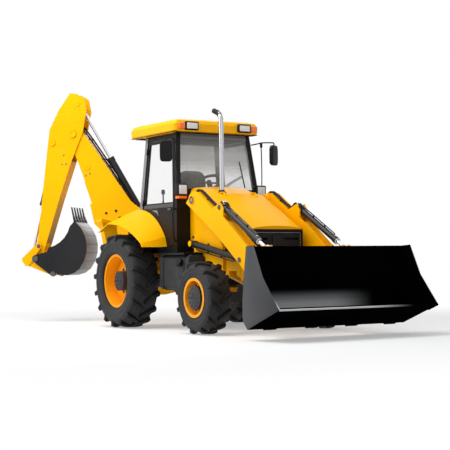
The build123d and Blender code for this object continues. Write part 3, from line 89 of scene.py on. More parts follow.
bpy.ops.mesh.primitive_circle_add(vertices=96, radius=60, fill_type="NGON", location=(0, 0, 0))
floor = bpy.context.object
floor.name = "studio_floor"
floor_paint = bpy.data.materials.new("studio_floor")
floor_paint.use_nodes = True
tree = floor_paint.node_tree
tree.nodes.clear()
distance = wired(tree, "VectorMath", {0: wired(tree, "TexCoord").outputs["Object"]}, operation="LENGTH")
fade = wired(tree, "MapRange", {
    "Value": distance.outputs["Value"], "From Min": 4.0, "From Max": 8.0, "To Min": 0.35,
}, interpolation_type="SMOOTHSTEP")
matt = wired(tree, "BsdfDiffuse", {"Color": (0.93, 0.93, 0.93, 1)})
glow = wired(tree, "Emission")
blend = wired(tree, "MixShader", {
    "Fac": fade.outputs["Result"], 1: matt.outputs["BSDF"], 2: glow.outputs["Emission"],
})
wired(tree, "OutputMaterial", {"Surface": blend.outputs["Shader"]})
floor.data.materials.append(floor_paint)

world = bpy.data.worlds.new("studio")
bpy.context.scene.world = world
world.use_nodes = True
tree = world.node_tree
tree.nodes.clear()
ray = wired(tree, "LightPath").outputs
straight = wired(tree, "Math", {0: ray["Is Camera Ray"], 1: ray["Is Transmission Ray"]}, operation="MAXIMUM")
seen = wired(tree, "Math", {0: straight.outputs[0], 1: ray["Is Glossy Ray"]}, operation="MAXIMUM")
plain = wired(tree, "Background", {"Color": (0.95, 0.97, 1.0, 1), "Strength": 0.36})
white = wired(tree, "Background", {"Color": (1, 1, 1, 1), "Strength": 1.0})
either = wired(tree, "MixShader", {
    "Fac": seen.outputs[0], 1: plain.outputs["Background"], 2: white.outputs["Background"],
})
wired(tree, "OutputWorld", {"Surface": either.outputs["Shader"]})

# light, its place from home and its size in metres, and its power in watts
for name, spot, size, power in (
    ("top_light", (1.0, -4.0, 8.5), 7, 700), ("side_light", (-2, -11, 5.5), 6, 375),
    ("front_light", (11, -2, 4.0), 5, 70), ("rear_light", (-8, 6, 6.0), 5, 220),
):
    data = bpy.data.lights.new(name, "AREA")
    data.size, data.energy = size, power
    lamp = bpy.data.objects.new(name, data)
    lamp.location = home + Vector(spot)
    lamp.rotation_euler = (home + Vector((1, 0, 1)) - lamp.location).to_track_quat("-Z", "Y").to_euler()
    bpy.context.scene.collection.objects.link(lamp)


# ---------------------------------------------------------------- main frame
# Two welded rails with a loader tower each side, sprayed with a thick gloss coat over primer.
# The paint shows a faint orange peel, small changes of tone and a film of dust low down.
def coat(name, colour, roughness=0.35, peel=0.12, tone=0.06, dust=0.0, metallic=0.0, clear=0.0, scale=9.0, shine=0.4):
    """Paint, casting or moulding: base colour with slow variation, worn gloss, fine bump and dust near the ground."""
    material = bpy.data.materials.new(name)
    material.use_nodes = True
    tree = material.node_tree
    place = wired(tree, "TexCoord").outputs["Object"]
    cloud = wired(tree, "TexNoise", {"Vector": place, "Scale": scale * 0.2, "Detail": 4}).outputs["Fac"]
    ramp = wired(tree, "ValToRGB", {"Fac": cloud})
    low, high = ramp.color_ramp.elements
    low.position, high.position = 0.3, 0.7
    low.color = (*[c * (1 - tone) for c in colour], 1)
    high.color = (*[min(1, c * (1 + tone)) for c in colour], 1)
    up = wired(tree, "SeparateXYZ", {"Vector": place}).outputs["Z"]
    height = wired(tree, "MapRange", {"Value": up, "From Min": 1.1, "From Max": 0.1, "To Max": dust})
    patch = wired(tree, "Math", {0: height.outputs["Result"], 1: cloud}, operation="MULTIPLY")
    dusty = wired(tree, "Mix", {
        "Factor": patch.outputs["Value"], "A": ramp.outputs["Color"], "B": (0.11, 0.10, 0.09, 1),
    }, data_type="RGBA")
    gloss = wired(tree, "MapRange", {"Value": cloud, "To Min": roughness - 0.07, "To Max": roughness + 0.09})
    grain = wired(tree, "TexNoise", {"Vector": place, "Scale": scale * 40, "Detail": 3})
    bump = wired(tree, "Bump", {"Height": grain.outputs["Fac"], "Strength": peel, "Distance": 0.001})
    feed(tree, tree.nodes["Principled BSDF"], {
        "Base Color": dusty.outputs["Result"], "Roughness": gloss.outputs["Result"], "Normal": bump.outputs["Normal"],
        "Metallic": metallic, "Coat Weight": clear, "Coat Roughness": 0.08, "Specular IOR Level": shine,
    })
    return material


def wear(material, *node_names):
    """Give CAD nodes their finish."""
    for name in node_names:
        frame["nodes"][name].data.materials.clear()
        frame["nodes"][name].data.materials.append(material)


def at(forward, left, up):
    """Place in the machine's own millimetres, from the ground under the rear axle."""
    return home + Vector((forward, left, up)) / 1000


def only(*pieces):
    """Select these pieces alone, the last one active."""
    bpy.ops.object.select_all(action="DESELECT")
    for piece in pieces:
        piece.select_set(True)
        bpy.context.view_layer.objects.active = piece


def planted(*pieces):
    """Put the places of pieces into their meshes."""
    only(*pieces)
    bpy.ops.object.transform_apply(location=True, rotation=True, scale=True)
    return pieces[-1]


def settle(piece, name, finish, body, smooth=35):
    """Put a new piece's place into its mesh, smooth its shallow edges, paint it and fix it to the body it rides."""
    planted(piece)
    bpy.ops.object.shade_smooth_by_angle(angle=math.radians(smooth))
    piece.name = piece.data.name = name
    piece.data.materials.clear()
    piece.data.materials.append(finish)
    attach(piece, body)
    return piece


def joined(pieces):
    """Join pieces to one mesh."""
    only(*pieces)
    bpy.ops.object.join()
    return bpy.context.object


def facing(point, direction):
    """Placement whose own Z looks along a direction."""
    return Matrix.Translation(point) @ Vector(direction).to_track_quat("Z", "Y").to_matrix().to_4x4()


def twin(piece):
    """Copy of a piece, with a mesh of its own."""
    copy = piece.copy()
    copy.data = piece.data.copy()
    bpy.context.scene.collection.objects.link(copy)
    return copy


def repeated(pattern, places):
    """Copies of a pattern piece, one at each placement, joined to one mesh."""
    planted(pattern)
    copies = [twin(pattern) for _ in places]
    for copy, placement in zip(copies, places):
        copy.matrix_world = placement
    bpy.data.objects.remove(pattern)
    planted(*copies)
    return joined(copies)


def outline_mesh(points, fill="NOTHING"):
    """Flat loop through points in millimetres, in its own XY plane, as the blank for a lathe or a plate."""
    bpy.ops.mesh.primitive_circle_add(vertices=len(points), radius=1, fill_type=fill)
    blank = bpy.context.object
    for vertex, (x, y) in zip(blank.data.vertices, points):
        vertex.co = (x / 1000, y / 1000, 0)
    return blank


def outwards(piece):
    """Turn a closed piece's faces outwards."""
    only(piece)
    bpy.ops.object.mode_set(mode="EDIT")
    bpy.ops.mesh.select_all(action="SELECT")
    bpy.ops.mesh.normals_make_consistent(inside=False)
    bpy.ops.object.mode_set(mode="OBJECT")
    return piece


def turned(points, steps=48):
    """Lathe piece round its own Z from a section of (radius, height) points in millimetres."""
    piece = outline_mesh(points)
    for vertex in piece.data.vertices:
        vertex.co = (vertex.co.x, 0, vertex.co.y)
    bpy.ops.object.mode_set(mode="EDIT")
    bpy.ops.mesh.select_all(action="SELECT")
    bpy.ops.mesh.spin(steps=steps, angle=math.tau, center=(0, 0, 0), axis=(0, 0, 1), use_auto_merge=True)
    bpy.ops.mesh.select_all(action="SELECT")
    bpy.ops.mesh.remove_doubles(threshold=0.00005)
    bpy.ops.mesh.dissolve_degenerate(threshold=0.00005)
    bpy.ops.object.mode_set(mode="OBJECT")
    return outwards(piece)


def modified(piece, kind, **settings):
    """Add a modifier with its settings and apply it."""
    only(piece)
    modifier = piece.modifiers.new(kind.lower(), kind)
    for key, value in settings.items():
        setattr(modifier, key, value)
    bpy.ops.object.modifier_apply(modifier=modifier.name)
    return piece


def eased(piece, rim, segments=2):
    """Round a piece's sharp edges to a radius in metres."""
    return modified(piece, "BEVEL", width=rim, segments=segments, limit_method="ANGLE")


def plate(points, thick, rim):
    """Flat plate on its own XY plane with eased edges, in millimetres."""
    piece = outline_mesh(points, "NGON")
    bpy.ops.object.mode_set(mode="EDIT")
    bpy.ops.mesh.select_all(action="SELECT")
    bpy.ops.mesh.extrude_region_move(TRANSFORM_OT_translate={"value": (0, 0, thick / 1000)})
    bpy.ops.object.mode_set(mode="OBJECT")
    return eased(outwards(piece), rim / 1000)


def block(size, rim, segments=3):
    """Box of a size in millimetres round its own middle, with rounded edges."""
    bpy.ops.mesh.primitive_cube_add(size=1)
    piece = bpy.context.object
    piece.scale = Vector(size) / 1000
    return eased(planted(piece), rim / 1000, segments)


def pipe(points, radius, sides=3):
    """Bent tube through places in metres: a smooth path with a round section, closed at its ends."""
    path = bpy.data.curves.new("pipe", "CURVE")
    path.dimensions = "3D"
    path.bevel_depth, path.bevel_resolution, path.use_fill_caps = radius / 1000, sides, True
    run = path.splines.new("NURBS")
    run.points.add(len(points) - 1)
    for knot, point in zip(run.points, points):
        knot.co = (*point, 1)
    run.order_u, run.use_endpoint_u = 3, True
    path.resolution_u = 6
    piece = bpy.data.objects.new("pipe", path)
    bpy.context.scene.collection.objects.link(piece)
    only(piece)
    bpy.ops.object.convert(target="MESH")
    return bpy.context.object


def bolt(across, proud):
    """Hexagon bolt head on its washer, standing on Z = 0, from its width over the flats and its height."""
    washer = turned([
        (0, 0), (across * 0.75, 0), (across * 0.75, proud * 0.15), (across * 0.7, proud * 0.22), (0, proud * 0.22),
    ], 20)
    corner = across / 1732               # flats to corner, and millimetres to metres
    bpy.ops.mesh.primitive_cylinder_add(
        vertices=6, radius=corner, depth=proud / 1000, location=(0, 0, proud / 2000))
    return joined([washer, eased(bpy.context.object, across / 14000)])


yellow_paint = coat("yellow_paint", (0.97, 0.46, 0.0003), 0.36, 0.1, 0.03, 0.03, clear=0.01, shine=0.06)
black_paint = coat("black_paint", (0.006, 0.006, 0.0065), 0.4, 0.15, 0.25, 0.06, clear=0.02, shine=0.15)
bolt_steel = coat("bolt_steel", (0.10, 0.10, 0.105), 0.42, 0.2, 0.25, metallic=0.7, scale=30)
wear(yellow_paint, "chassis_frame", "rear_frame")

tower_side = [
    facing(at(forward, sign * 526, up), (0, sign, 0))
    for sign in (-1, 1) for forward, up in ((1240, 1130), (1240, 1260), (1500, 1130), (1640, 1150))
]
frame_plate = [
    facing(at(-1130, left, up), (-1, 0, 0)) for left in (-520, -420, 420, 520) for up in (560, 700, 840)
]
settle(repeated(bolt(30, 18), tower_side + frame_plate), "frame_bolts", bolt_steel, "machine")

# ---------------------------------------------------------------- engine, transmission and axles
# Rough sand castings in dark grey enamel: the block and gearbox on the rails, a beam axle in front
# and the rear axle with its wheel hubs.
cast_enamel = coat("cast_enamel", (0.010, 0.0102, 0.011), 0.6, 0.6, 0.3, 0.15, scale=14, shine=0.15)
hub_enamel = coat("hub_enamel", (0.032, 0.033, 0.036), 0.45, 0.4, 0.2, 0.1, scale=14, shine=0.25)
wear(cast_enamel, "engine", "transmission")
wear(hub_enamel, "rear_axle", "front_axle", "knuckle_right", "knuckle_left")

# ---------------------------------------------------------------- tyres
# Traction tyres moulded in black rubber: a smooth, greyer sidewall with a bead ring, and a chevron of
# deep bars on the tread, each bar wider at its foot and run out over the shoulder.
tread_rubber = coat("tread_rubber", (0.006, 0.006, 0.0065), 0.5, 0.35, 0.3, 0.04, scale=20, shine=0.2)
sidewall_rubber = coat("sidewall_rubber", (0.017, 0.0175, 0.019), 0.5, 0.3, 0.2, 0.05, scale=20, shine=0.22)


def bar_of_tread(radius, half, height, width, run):
    """One bar of the tread, from the shoulder to its nose by the middle, on top of the tyre."""
    bpy.ops.mesh.primitive_grid_add(x_subdivisions=9, y_subdivisions=2, size=2)
    lug = modified(bpy.context.object, "SOLIDIFY", thickness=2, offset=0)
    for vertex in lug.data.vertices:
        along, across, top = (vertex.co.x + 1) / 2, vertex.co.y, vertex.co.z > 0
        left = half * (0.99 - 1.04 * along)
        round_by = -run / 2 + run * (0.45 * along + 0.55 * along ** 2)
        nose = 0.72 if along > 0.99 else 1.0
        wide = width * (0.62 - 0.1 * along) * nose * (0.86 if top else 1.12)
        shoulder = max(0.0, abs(left) / half - 0.6) / 0.4
        reach = radius - 3 - 16 * shoulder ** 2 if top else radius - height - 12 - 0.09 * radius * shoulder ** 2
        turn = (round_by + across * wide * 0.93) / radius
        vertex.co = Vector((reach * math.sin(turn), left + across * wide * 0.12, reach * math.cos(turn))) / 1000
    return modified(outwards(lug), "BEVEL", width=0.006, segments=2, limit_method="ANGLE", angle_limit=0.7)


def tyre(radius, half, flange, seat, lip, bars, height, width, run):
    """Tyre round its own Y axis: a lathed carcass and two rows of bars."""
    base, middle = radius - height, (radius + flange) / 2
    half_section = [
        (base, 0), (base - 1, half * 0.45), (base * 0.985, half * 0.75), (base * 0.955, half * 0.91),
        (base * 0.9, half * 0.975), (middle + 20, half), (middle - 10, half), (middle - 24, half * 0.965),
        (middle - 34, half * 0.985), (flange + 34, half * 0.93), (flange + 18, half * 0.88), (flange + 8, half * 0.9),
        (flange + 5, lip + 10), (flange + 1, lip), (seat + 1, lip),
    ]
    carcass = turned(half_section + [(ring, -side) for ring, side in reversed(half_section[1:])], 96)
    carcass.rotation_euler.x = math.radians(-90)
    planted(carcass)
    carcass.data.materials.append(sidewall_rubber)
    one = bar_of_tread(radius, half, height, width, run)
    other = twin(one)
    other.scale.y = -1
    outwards(planted(other))
    step = math.tau / bars
    rows = [
        repeated(row, [Matrix.Rotation(step * (i + shift), 4, "Y") for i in range(bars)])
        for row, shift in ((one, 0), (other, 0.5))
    ]
    for row in rows:
        row.data.materials.append(tread_rubber)
    return joined([*rows, carcass])


halves = (("right", -1), ("left", 1))
tread_edge = 32                      # in degrees: edges sharper than this stay hard
# axle, tyre's place to the side, rolling radius, half width, rim flange, bead seat, bead's place,
# bars a side, their height, width and run
for axle, aside, *sizes in (
    ("rear", 915, 666, 210, 381, 356, 151, 16, 42, 62, 150),
    ("front", 930, 469, 160, 254, 229, 136, 12, 34, 56, 120),
):
    blank = tyre(*sizes)
    for side, sign in halves:
        copy = twin(blank)
        copy.location = pivot[f"wheel_{axle}_{side}_spin"]
        copy.location.y = at(0, sign * aside, 0).y
        planted(copy)
        bpy.ops.object.shade_smooth_by_angle(angle=math.radians(tread_edge))
        copy.name = copy.data.name = f"tyre_{axle}_{side}_moulded"
        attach(copy, f"wheel_{axle}_{side}")
        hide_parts(f"tyre_{axle}_{side}")
    bpy.data.objects.remove(blank)

# ---------------------------------------------------------------- rims
# Rolled and pressed steel rims in the machine's colour, each held by a ring of nuts round a hub whose
# planet cover turns with the wheel.
rim_paint = coat("rim_paint", (0.93, 0.37, 0.002), 0.42, 0.12, 0.06, 0.1, clear=0.05, shine=0.25)


def round_hub(centre, radius, left, count):
    """Placements in a ring round a wheel's axis, facing outwards."""
    return [
        facing(Vector((
            centre.x + radius / 1000 * math.cos(turn), at(0, left, 0).y, centre.z + radius / 1000 * math.sin(turn),
        )), (0, math.copysign(1, left), 0))
        for turn in (math.tau * i / count for i in range(count))
    ]


# axle, rim disc's place to the side, hub's radius and end, wheel nuts
for axle, disc, hub_r, hub_end, nuts in (("rear", 930, 138, 1030, 10), ("front", 985, 150, 1066, 12)):
    for side, sign in halves:
        wheel, centre = f"wheel_{axle}_{side}", pivot[f"wheel_{axle}_{side}_spin"]
        wear(rim_paint, f"rim_{axle}_{side}")
        settle(repeated(bolt(26, 20), round_hub(centre, hub_r + 26, sign * disc, nuts)),
               f"wheel_nuts_{axle}_{side}", bolt_steel, wheel)
        cover = turned([
            (0, -2), (hub_r + 3, -2), (hub_r + 3, 5), (hub_r - 8, 9), (hub_r * 0.62, 9), (hub_r * 0.56, 13),
            (hub_r * 0.3, 13), (hub_r * 0.27, 8), (hub_r * 0.12, 8), (hub_r * 0.1, 14), (0, 14),
        ])
        cover.matrix_world = facing(Vector((centre.x, at(0, sign * hub_end, 0).y, centre.z)), (0, sign, 0))
        studs = repeated(bolt(15, 8), round_hub(centre, hub_r * 0.8, sign * (hub_end + 8), 12)
                         + round_hub(centre, hub_r * 0.43, sign * (hub_end + 12), 6))
        settle(joined([studs, planted(cover)]), f"hub_cover_{axle}_{side}", hub_enamel, wheel)
        valve = pipe([
            Vector((centre.x, at(0, sign * (disc + reach), 0).y, centre.z + up / 1000))
            for reach, up in ((-6, hub_r + 110), (18, hub_r + 112), (34, hub_r + 128))
        ], 5)
        settle(valve, f"valve_{axle}_{side}", black_paint, wheel)

# ---------------------------------------------------------------- bonnet, cowl, wings and grille
# Deep-drawn steel panels in gloss paint, bolted up over the radiator, with a moulded dark grille in the nose
# that a thin pale line runs round.
wear(yellow_paint, "bonnet", "cowl", "wing_right", "wing_left")
grille_plastic = coat("grille_plastic", (0.010, 0.0105, 0.0115), 0.45, 0.5, 0.2, shine=0.18)
pale_trim = coat("pale_trim", (0.36, 0.37, 0.38), 0.4, 0.1, 0.1, scale=20)
wear(grille_plastic, "grille")


def bar(start, end, wide, tall, rim=2.0):
    """Flat bar between two places in metres, wide across and tall upwards, in millimetres."""
    piece = block((wide, tall, (end - start).length * 1000), rim, 2)
    piece.matrix_world = facing((start + end) / 2, end - start)
    return planted(piece)


frame_lines = [
    bar(at(2453, left, 1084), at(2453, left, 1293), 7, 5, 1) for left in (-386, 386)
] + [
    bar(at(2453, -386, up), at(2453, 386, up), 5, 7, 1) for up in (1086, 1291)
]
settle(joined(frame_lines), "grille_frame_lines", pale_trim, "machine")
fins = repeated(block((36, 3, 230), 1, 1), [Matrix.Translation(at(2378, -368 + 32 * i, 1190)) for i in range(24)])
core = block((20, 780, 250), 6)
core.location = at(2392, 0, 1190)
settle(joined([fins, core]), "radiator_core", grille_plastic, "machine")
# A black bar under the bonnet's front edge: painted shade of the gap there.
settle(bar(at(2486, -400, 1333), at(2486, 400, 1333), 10, 22, 3), "nose_gap_shade", black_paint, "bonnet")

# ---------------------------------------------------------------- exhaust
# A stack of bright plated tube that stands out of the bonnet in a rubber collar. Its bent end is cut off
# straight and blackened by the gas.
bright_pipe = coat("bright_pipe", (0.42, 0.42, 0.43), 0.18, 0.02, 0.05, metallic=1.0)
wear(bright_pipe, "exhaust_stack")
bend_middle, bend, bend_end, cut_end = at(1320, -200, 2830), 0.140, math.radians(70), 0.094
tip_run = [
    bend_middle + bend * Vector((math.cos(turn), 0, math.sin(turn)))
    for turn in (math.radians(36), math.radians(56), bend_end)
]
tip_run.append(tip_run[-1] + cut_end * Vector((-math.sin(bend_end), 0, math.cos(bend_end))))
settle(pipe(tip_run, 36.5, 6), "exhaust_tip", black_paint, "machine")
collar = turned([(34.5, -40), (60, -34), (56, -6), (44, 4), (38, 22), (34.5, 22)])
collar.location = at(1460, -200, 1872)
settle(collar, "exhaust_collar", black_paint, "machine")

# ---------------------------------------------------------------- cab
# A black box-section frame with bonded glass, hinged doors and a moulded roof in the machine's colour
# over a black lining.
roof_moulding = coat("roof_moulding", (0.97, 0.46, 0.001), 0.4, 0.15, 0.03, clear=0.04, shine=0.12)
cab_black = coat("cab_black", (0.0042, 0.0042, 0.0046), 0.4, 0.15, 0.2, 0.04, clear=0.02, shine=0.15)
pillar_grey = coat("pillar_grey", (0.19, 0.195, 0.20), 0.4, 0.15, 0.1)
wear(cab_black, "cab_frame", "door_right", "door_left")
wear(roof_moulding, "cab_roof")


pillar_foot, pillar_tall = 1660, 1055


def lean(up):
    """Cab's front face and half width at a height, as its pillars lean in to the roof."""
    share = (up - pillar_foot) / pillar_tall
    return 1075 - 155 * share, 690 - 90 * share


def leaf(corners, thick):
    """Thin plate over four corners in metres, thickened away from the cab."""
    bpy.ops.mesh.primitive_plane_add(size=1)
    piece = bpy.context.object
    for vertex, corner in zip(piece.data.vertices, (corners[0], corners[1], corners[3], corners[2])):
        vertex.co = corner
    modified(piece, "SOLIDIFY", thickness=thick / 1000, offset=1)
    return eased(outwards(piece), 0.001)


lining = plate([(-262, 686), (1022, 686), (1022, -686), (-262, -686)], 6, 2)
lining.location = at(0, 0, 2716)
ribs = [bar(at(x, -640, 2712), at(x, 640, 2712), 16, 12, 4) for x in (-200, -120, -40, 960, 1000)]
settle(joined([planted(lining), *ribs]), "roof_lining", cab_black, "machine")
rail_grey = coat("rail_grey", (0.06, 0.061, 0.064), 0.45, 0.15, 0.15)
for side, sign in halves:
    door = f"door_{side}"
    post = [at(x, sign * y, z) for x, y, z in ((6, 693, 1662), (92, 693, 1662), (128, 606, 2700), (56, 606, 2700))]
    settle(leaf(post[::-sign], 3), f"pillar_cover_{side}", pillar_grey, "machine")
    sill = bar(at(150, sign * 694, 1704), at(985, sign * 694, 1704), 8, 52, 3)
    settle(sill, f"door_rail_{side}", rail_grey, door)
    panel = leaf([at(x, sign * 692, z) for x, z in ((370, 1655), (520, 1655), (560, 1570), (500, 1610))][::-sign], 2)
    settle(panel, f"door_panel_{side}", pillar_grey, door)
    catch = block((90, 26, 34), 9)
    catch.location = at(905, sign * 704, 1652)
    settle(catch, f"door_handle_{side}", bolt_steel, door)
    rail = pipe([at(x, sign * y, z) for x, y, z in (
        (1055, 690, 1210), (1055, 735, 1225), (1050, 738, 1420), (1040, 738, 1640), (1030, 700, 1655),
        (1030, 685, 1655),
    )], 11)
    settle(rail, f"grab_rail_{side}", cab_black, "machine")
    (low_x, low_half), (top_x, top_half) = lean(1680), lean(2620)
    seal = pipe([at(low_x - 70, sign * (low_half + 2), 1690), at(top_x - 70, sign * (top_half + 2), 2610)], 5)
    settle(seal, f"door_seal_{side}", black_paint, door)


def pane(name, tint, alpha, band=0.0):
    """Tinted safety glass, deeper in a band at its top; clearer low down as a painted reflection."""
    material = bpy.data.materials.new(name)
    material.use_nodes = True
    tree = material.node_tree
    place = wired(tree, "TexCoord").outputs["Object"]
    smear = wired(tree, "TexNoise", {"Vector": place, "Scale": 2.2})
    film = wired(tree, "MapRange", {"Value": smear.outputs["Fac"], "To Min": 0.03, "To Max": 0.1})
    up = wired(tree, "SeparateXYZ", {"Vector": place}).outputs["Z"]
    # Clearer towards the foot of the glass: a painted reflection.
    reflection_clearness = wired(tree, "MapRange", {
        "Value": up, "From Min": 2.1, "From Max": 2.35, "To Min": alpha[0], "To Max": alpha[1],
    })
    shade = wired(tree, "MapRange", {"Value": up, "From Min": 2.44, "From Max": 2.6, "To Max": band})
    deep = wired(tree, "Mix", {
        "Factor": shade.outputs["Result"], "A": (*tint, 1), "B": (0.05, 0.055, 0.055, 1),
    }, data_type="RGBA")
    feed(tree, tree.nodes["Principled BSDF"], {
        "Base Color": deep.outputs["Result"], "Roughness": film.outputs["Result"],
        "Alpha": reflection_clearness.outputs["Result"], "IOR": 1.5,
    })
    return material


screen_glass = pane("screen_glass", (0.40, 0.41, 0.405), (0.22, 0.62), 0.55)
side_glass = pane("side_glass", (0.6, 0.63, 0.63), (0.05, 0.05))
wear(screen_glass, "windscreen")
printed_band = coat("printed_band", (0.14, 0.145, 0.143), 0.2, 0.02, 0.05, clear=0.3, shine=0.3)
band_corners = [
    at(lean(up)[0] + 1, sign * (lean(up)[1] - 70), up)
    for up, sign in ((2634, -1), (2634, 1), (2708, 1), (2708, -1))
]
settle(leaf(band_corners, 3), "screen_band", printed_band, "machine")
wear(side_glass, "rear_window", "door_glass_right", "door_glass_left")

# ---------------------------------------------------------------- wiper
# A pantograph wiper of black pressed steel with a rubber blade. Its two arms turn on a hub low on the
# windscreen.
screen_at = {up: lean(up)[0] for up in (1925, 1960, 2140, 2335)}
blade = bar(at(screen_at[1960] + 14, 440, 1960), at(screen_at[2335] + 14, 385, 2335), 9, 16, 2)
arms = [
    pipe([
        at(screen_at[1925] + 20, left, 1925), at(screen_at[2140] + 30, left + 190, 2050),
        at(screen_at[2140] + 22, 412, top),
    ], 5)
    for left, top in ((30, 2132), (70, 2108))
]
hub = turned([(0, 0), (26, 0), (26, 16), (18, 26), (0, 26)])
hub.matrix_world = facing(at(screen_at[1925] + 2, 50, 1920), (1, 0, 0.15))
settle(joined([blade, *arms, hub]), "wiper", cab_black, "machine")

# ---------------------------------------------------------------- seat
# A suspension seat: foam cushions in dark woven cloth with two sunk seams, on a rubber bellows that hides
# the spring.
seat_cloth = coat("seat_cloth", (0.010, 0.0105, 0.012), 0.85, 0.7, 0.15, scale=60, shine=0.12)


def cushion(deep, wide, tall, crown, squareness):
    """Crowned foam cushion round its own middle, its sides pulled in between the corners."""
    bpy.ops.mesh.primitive_cube_add(size=2)
    pad = bpy.context.object
    bpy.ops.object.mode_set(mode="EDIT")
    bpy.ops.mesh.select_all(action="SELECT")
    bpy.ops.mesh.subdivide(number_cuts=11)
    bpy.ops.object.mode_set(mode="OBJECT")
    for vertex in pad.data.vertices:
        x, y, z = vertex.co
        length = (abs(x) ** squareness + abs(y) ** squareness + abs(z) ** squareness) ** (1 / squareness)
        pull = 1 - crown * y ** 2 * z ** 2
        channel = 1 - 0.06 * math.exp(-((abs(y) / length - 0.55) / 0.04) ** 2) * (1 if abs(x) > 0.9 else 0)
        vertex.co = Vector((x * deep * pull * channel, y * wide, z * tall)) / length / 2000
    return modified(pad, "SUBSURF", levels=1, render_levels=1)


seat_base = cushion(460, 450, 150, 0.1, 5)
seat_base.location = at(520, 0, 1560)
settle(seat_base, "seat_cushion", seat_cloth, "machine", 60)
seat_back = cushion(120, 450, 620, 0.12, 4.5)
seat_back.location = at(300, 0, 1930)
settle(seat_back, "seat_back", seat_cloth, "machine", 60)
bellows = turned([(0, -200)] + [(104 if i % 2 else 88, -200 + i * 22) for i in range(19)] + [(0, 196)], 32)
bellows.location = at(520, 0, 1285)
settle(bellows, "seat_bellows", black_paint, "machine")
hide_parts("seat")

# ---------------------------------------------------------------- driver's controls
# A steering column and consoles moulded in grained plastic, with a soft-rimmed steering wheel and a
# ball-topped lever in a rubber gaiter.
grained_plastic = coat("grained_plastic", (0.006, 0.006, 0.0065), 0.6, 0.5, 0.2, scale=30, shine=0.15)
wear(grained_plastic, "controls")
wheel_place = facing(at(790, 0, 2043), (-0.5, 0, 0.87))
bpy.ops.mesh.primitive_torus_add(major_radius=0.186, minor_radius=0.0165, major_segments=64, minor_segments=14)
wheel_rim = bpy.context.object
wheel_rim.matrix_world = wheel_place
horn = turned([(0, 12), (30, 12), (38, 17), (34, 24), (0, 27)])
horn.matrix_world = wheel_place
settle(joined([wheel_rim, horn]), "steering_wheel", grained_plastic, "machine")
ball = turned([(0, -24)] + [
    (27 * math.cos(turn), 27 * math.sin(turn)) for turn in (math.radians(degrees) for degrees in range(-60, 61, 15))
] + [(0, 27)], 24)
ball.location = at(300, -470, 1936)
gaiter = turned([(12, 100), (16, 70), (26, 60), (24, 48), (40, 36), (38, 24), (56, 8), (60, 0), (12, 0)], 32)
gaiter.location = at(300, -470, 1690)
settle(joined([ball, gaiter]), "lever_grip", grained_plastic, "machine")

# ---------------------------------------------------------------- lamps
# Rectangular lamps with ribbed clear lenses in black moulded shells, bolted to the roof and to the cab's
# front corners, with amber indicators beside or under them.
lens = coat("lens", (0.72, 0.73, 0.72), 0.12, 0.9, 0.12, clear=0.6)
amber_lens = coat("amber_lens", (0.93, 0.17, 0.01), 0.2, 0.8, 0.1, clear=0.4)
shells, glasses, ambers = [], [], []


def lamp_shell(deep, wide, tall, rim):
    """Moulded shell facing forwards: rounded box whose front is sunk inside a narrow edge."""
    shell = block((deep, wide, tall), rim)
    only(shell)
    bpy.ops.object.mode_set(mode="EDIT")
    bpy.ops.mesh.select_all(action="DESELECT")
    bpy.ops.object.mode_set(mode="OBJECT")
    front = max(shell.data.polygons, key=lambda face: face.center.x)
    front.select = True
    bpy.ops.object.mode_set(mode="EDIT")
    bpy.ops.mesh.inset(thickness=0.014, depth=0)
    bpy.ops.mesh.inset(thickness=0.002, depth=-0.008)
    bpy.ops.object.mode_set(mode="OBJECT")
    return shell


def ribbed_glass(deep, wide, tall, ribs):
    """Lens facing forwards, with upright flutes moulded in its face."""
    glass = block((deep, wide, tall), 10)
    flutes = []
    for i in range(ribs):
        flute = block((5, wide / ribs * 0.55, tall * 0.84), 2, 2)
        flute.location = (deep / 2000, (i + 0.5 - ribs / 2) * wide / ribs * 0.9 / 1000, 0)
        flutes.append(flute)
    return joined([*flutes, glass])


for sign in (-1, 1):
    # roof lamp, then the head lamp on the cab's front corner: place, depth, width, height and flutes
    for forward, left, up, deep, wide, tall, ribs in (
        (1058, 430, 2800, 46, 216, 122, 7), (1116, 640, 1910, 104, 165, 165, 6),
    ):
        shell = lamp_shell(deep, wide, tall, 16)
        shell.location = at(forward, sign * left, up)
        glass = ribbed_glass(10, wide - 44, tall - 40, ribs)
        glass.location = shell.location + Vector((deep / 2000 - 0.002, 0, 0))
        planted(shell, glass)
        shells.append(shell)
        glasses.append(glass)
    shells.append(bar(at(1030, sign * 640, 1868), at(1085, sign * 640, 1868), 70, 26, 5))
    for forward, left, up, size in ((1054, 590, 2795, (66, 94, 84)), (1115, 640, 1806, (96, 143, 40))):
        amber = block(size, 13, 4)
        amber.location = at(forward, sign * left, up)
        ambers.append(planted(amber))
lamp_shells = settle(joined(shells), "lamp_shells", cab_black, "machine")
settle(joined(glasses), "lamp_lenses", lens, "machine")
indicator_lenses = settle(joined(ambers), "indicator_lenses", amber_lens, "machine")
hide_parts("lamps")
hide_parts("indicators")

# ---------------------------------------------------------------- mirrors
# Black moulded heads on bent steel rod that is clamped to the cab's front corners, with silvered glass
# towards the driver.
silver = coat("silver", (0.75, 0.77, 0.78), 0.06, 0.01, 0.02, metallic=1.0)
mirror_turn, head_deep, glass_proud = math.radians(27), 62, 2.5
heads, mirror_glasses, rods = [], [], []


def squared(value):
    """Circle's sine or cosine pushed out towards the corners of its square."""
    return math.copysign(abs(value) ** 0.35, value)


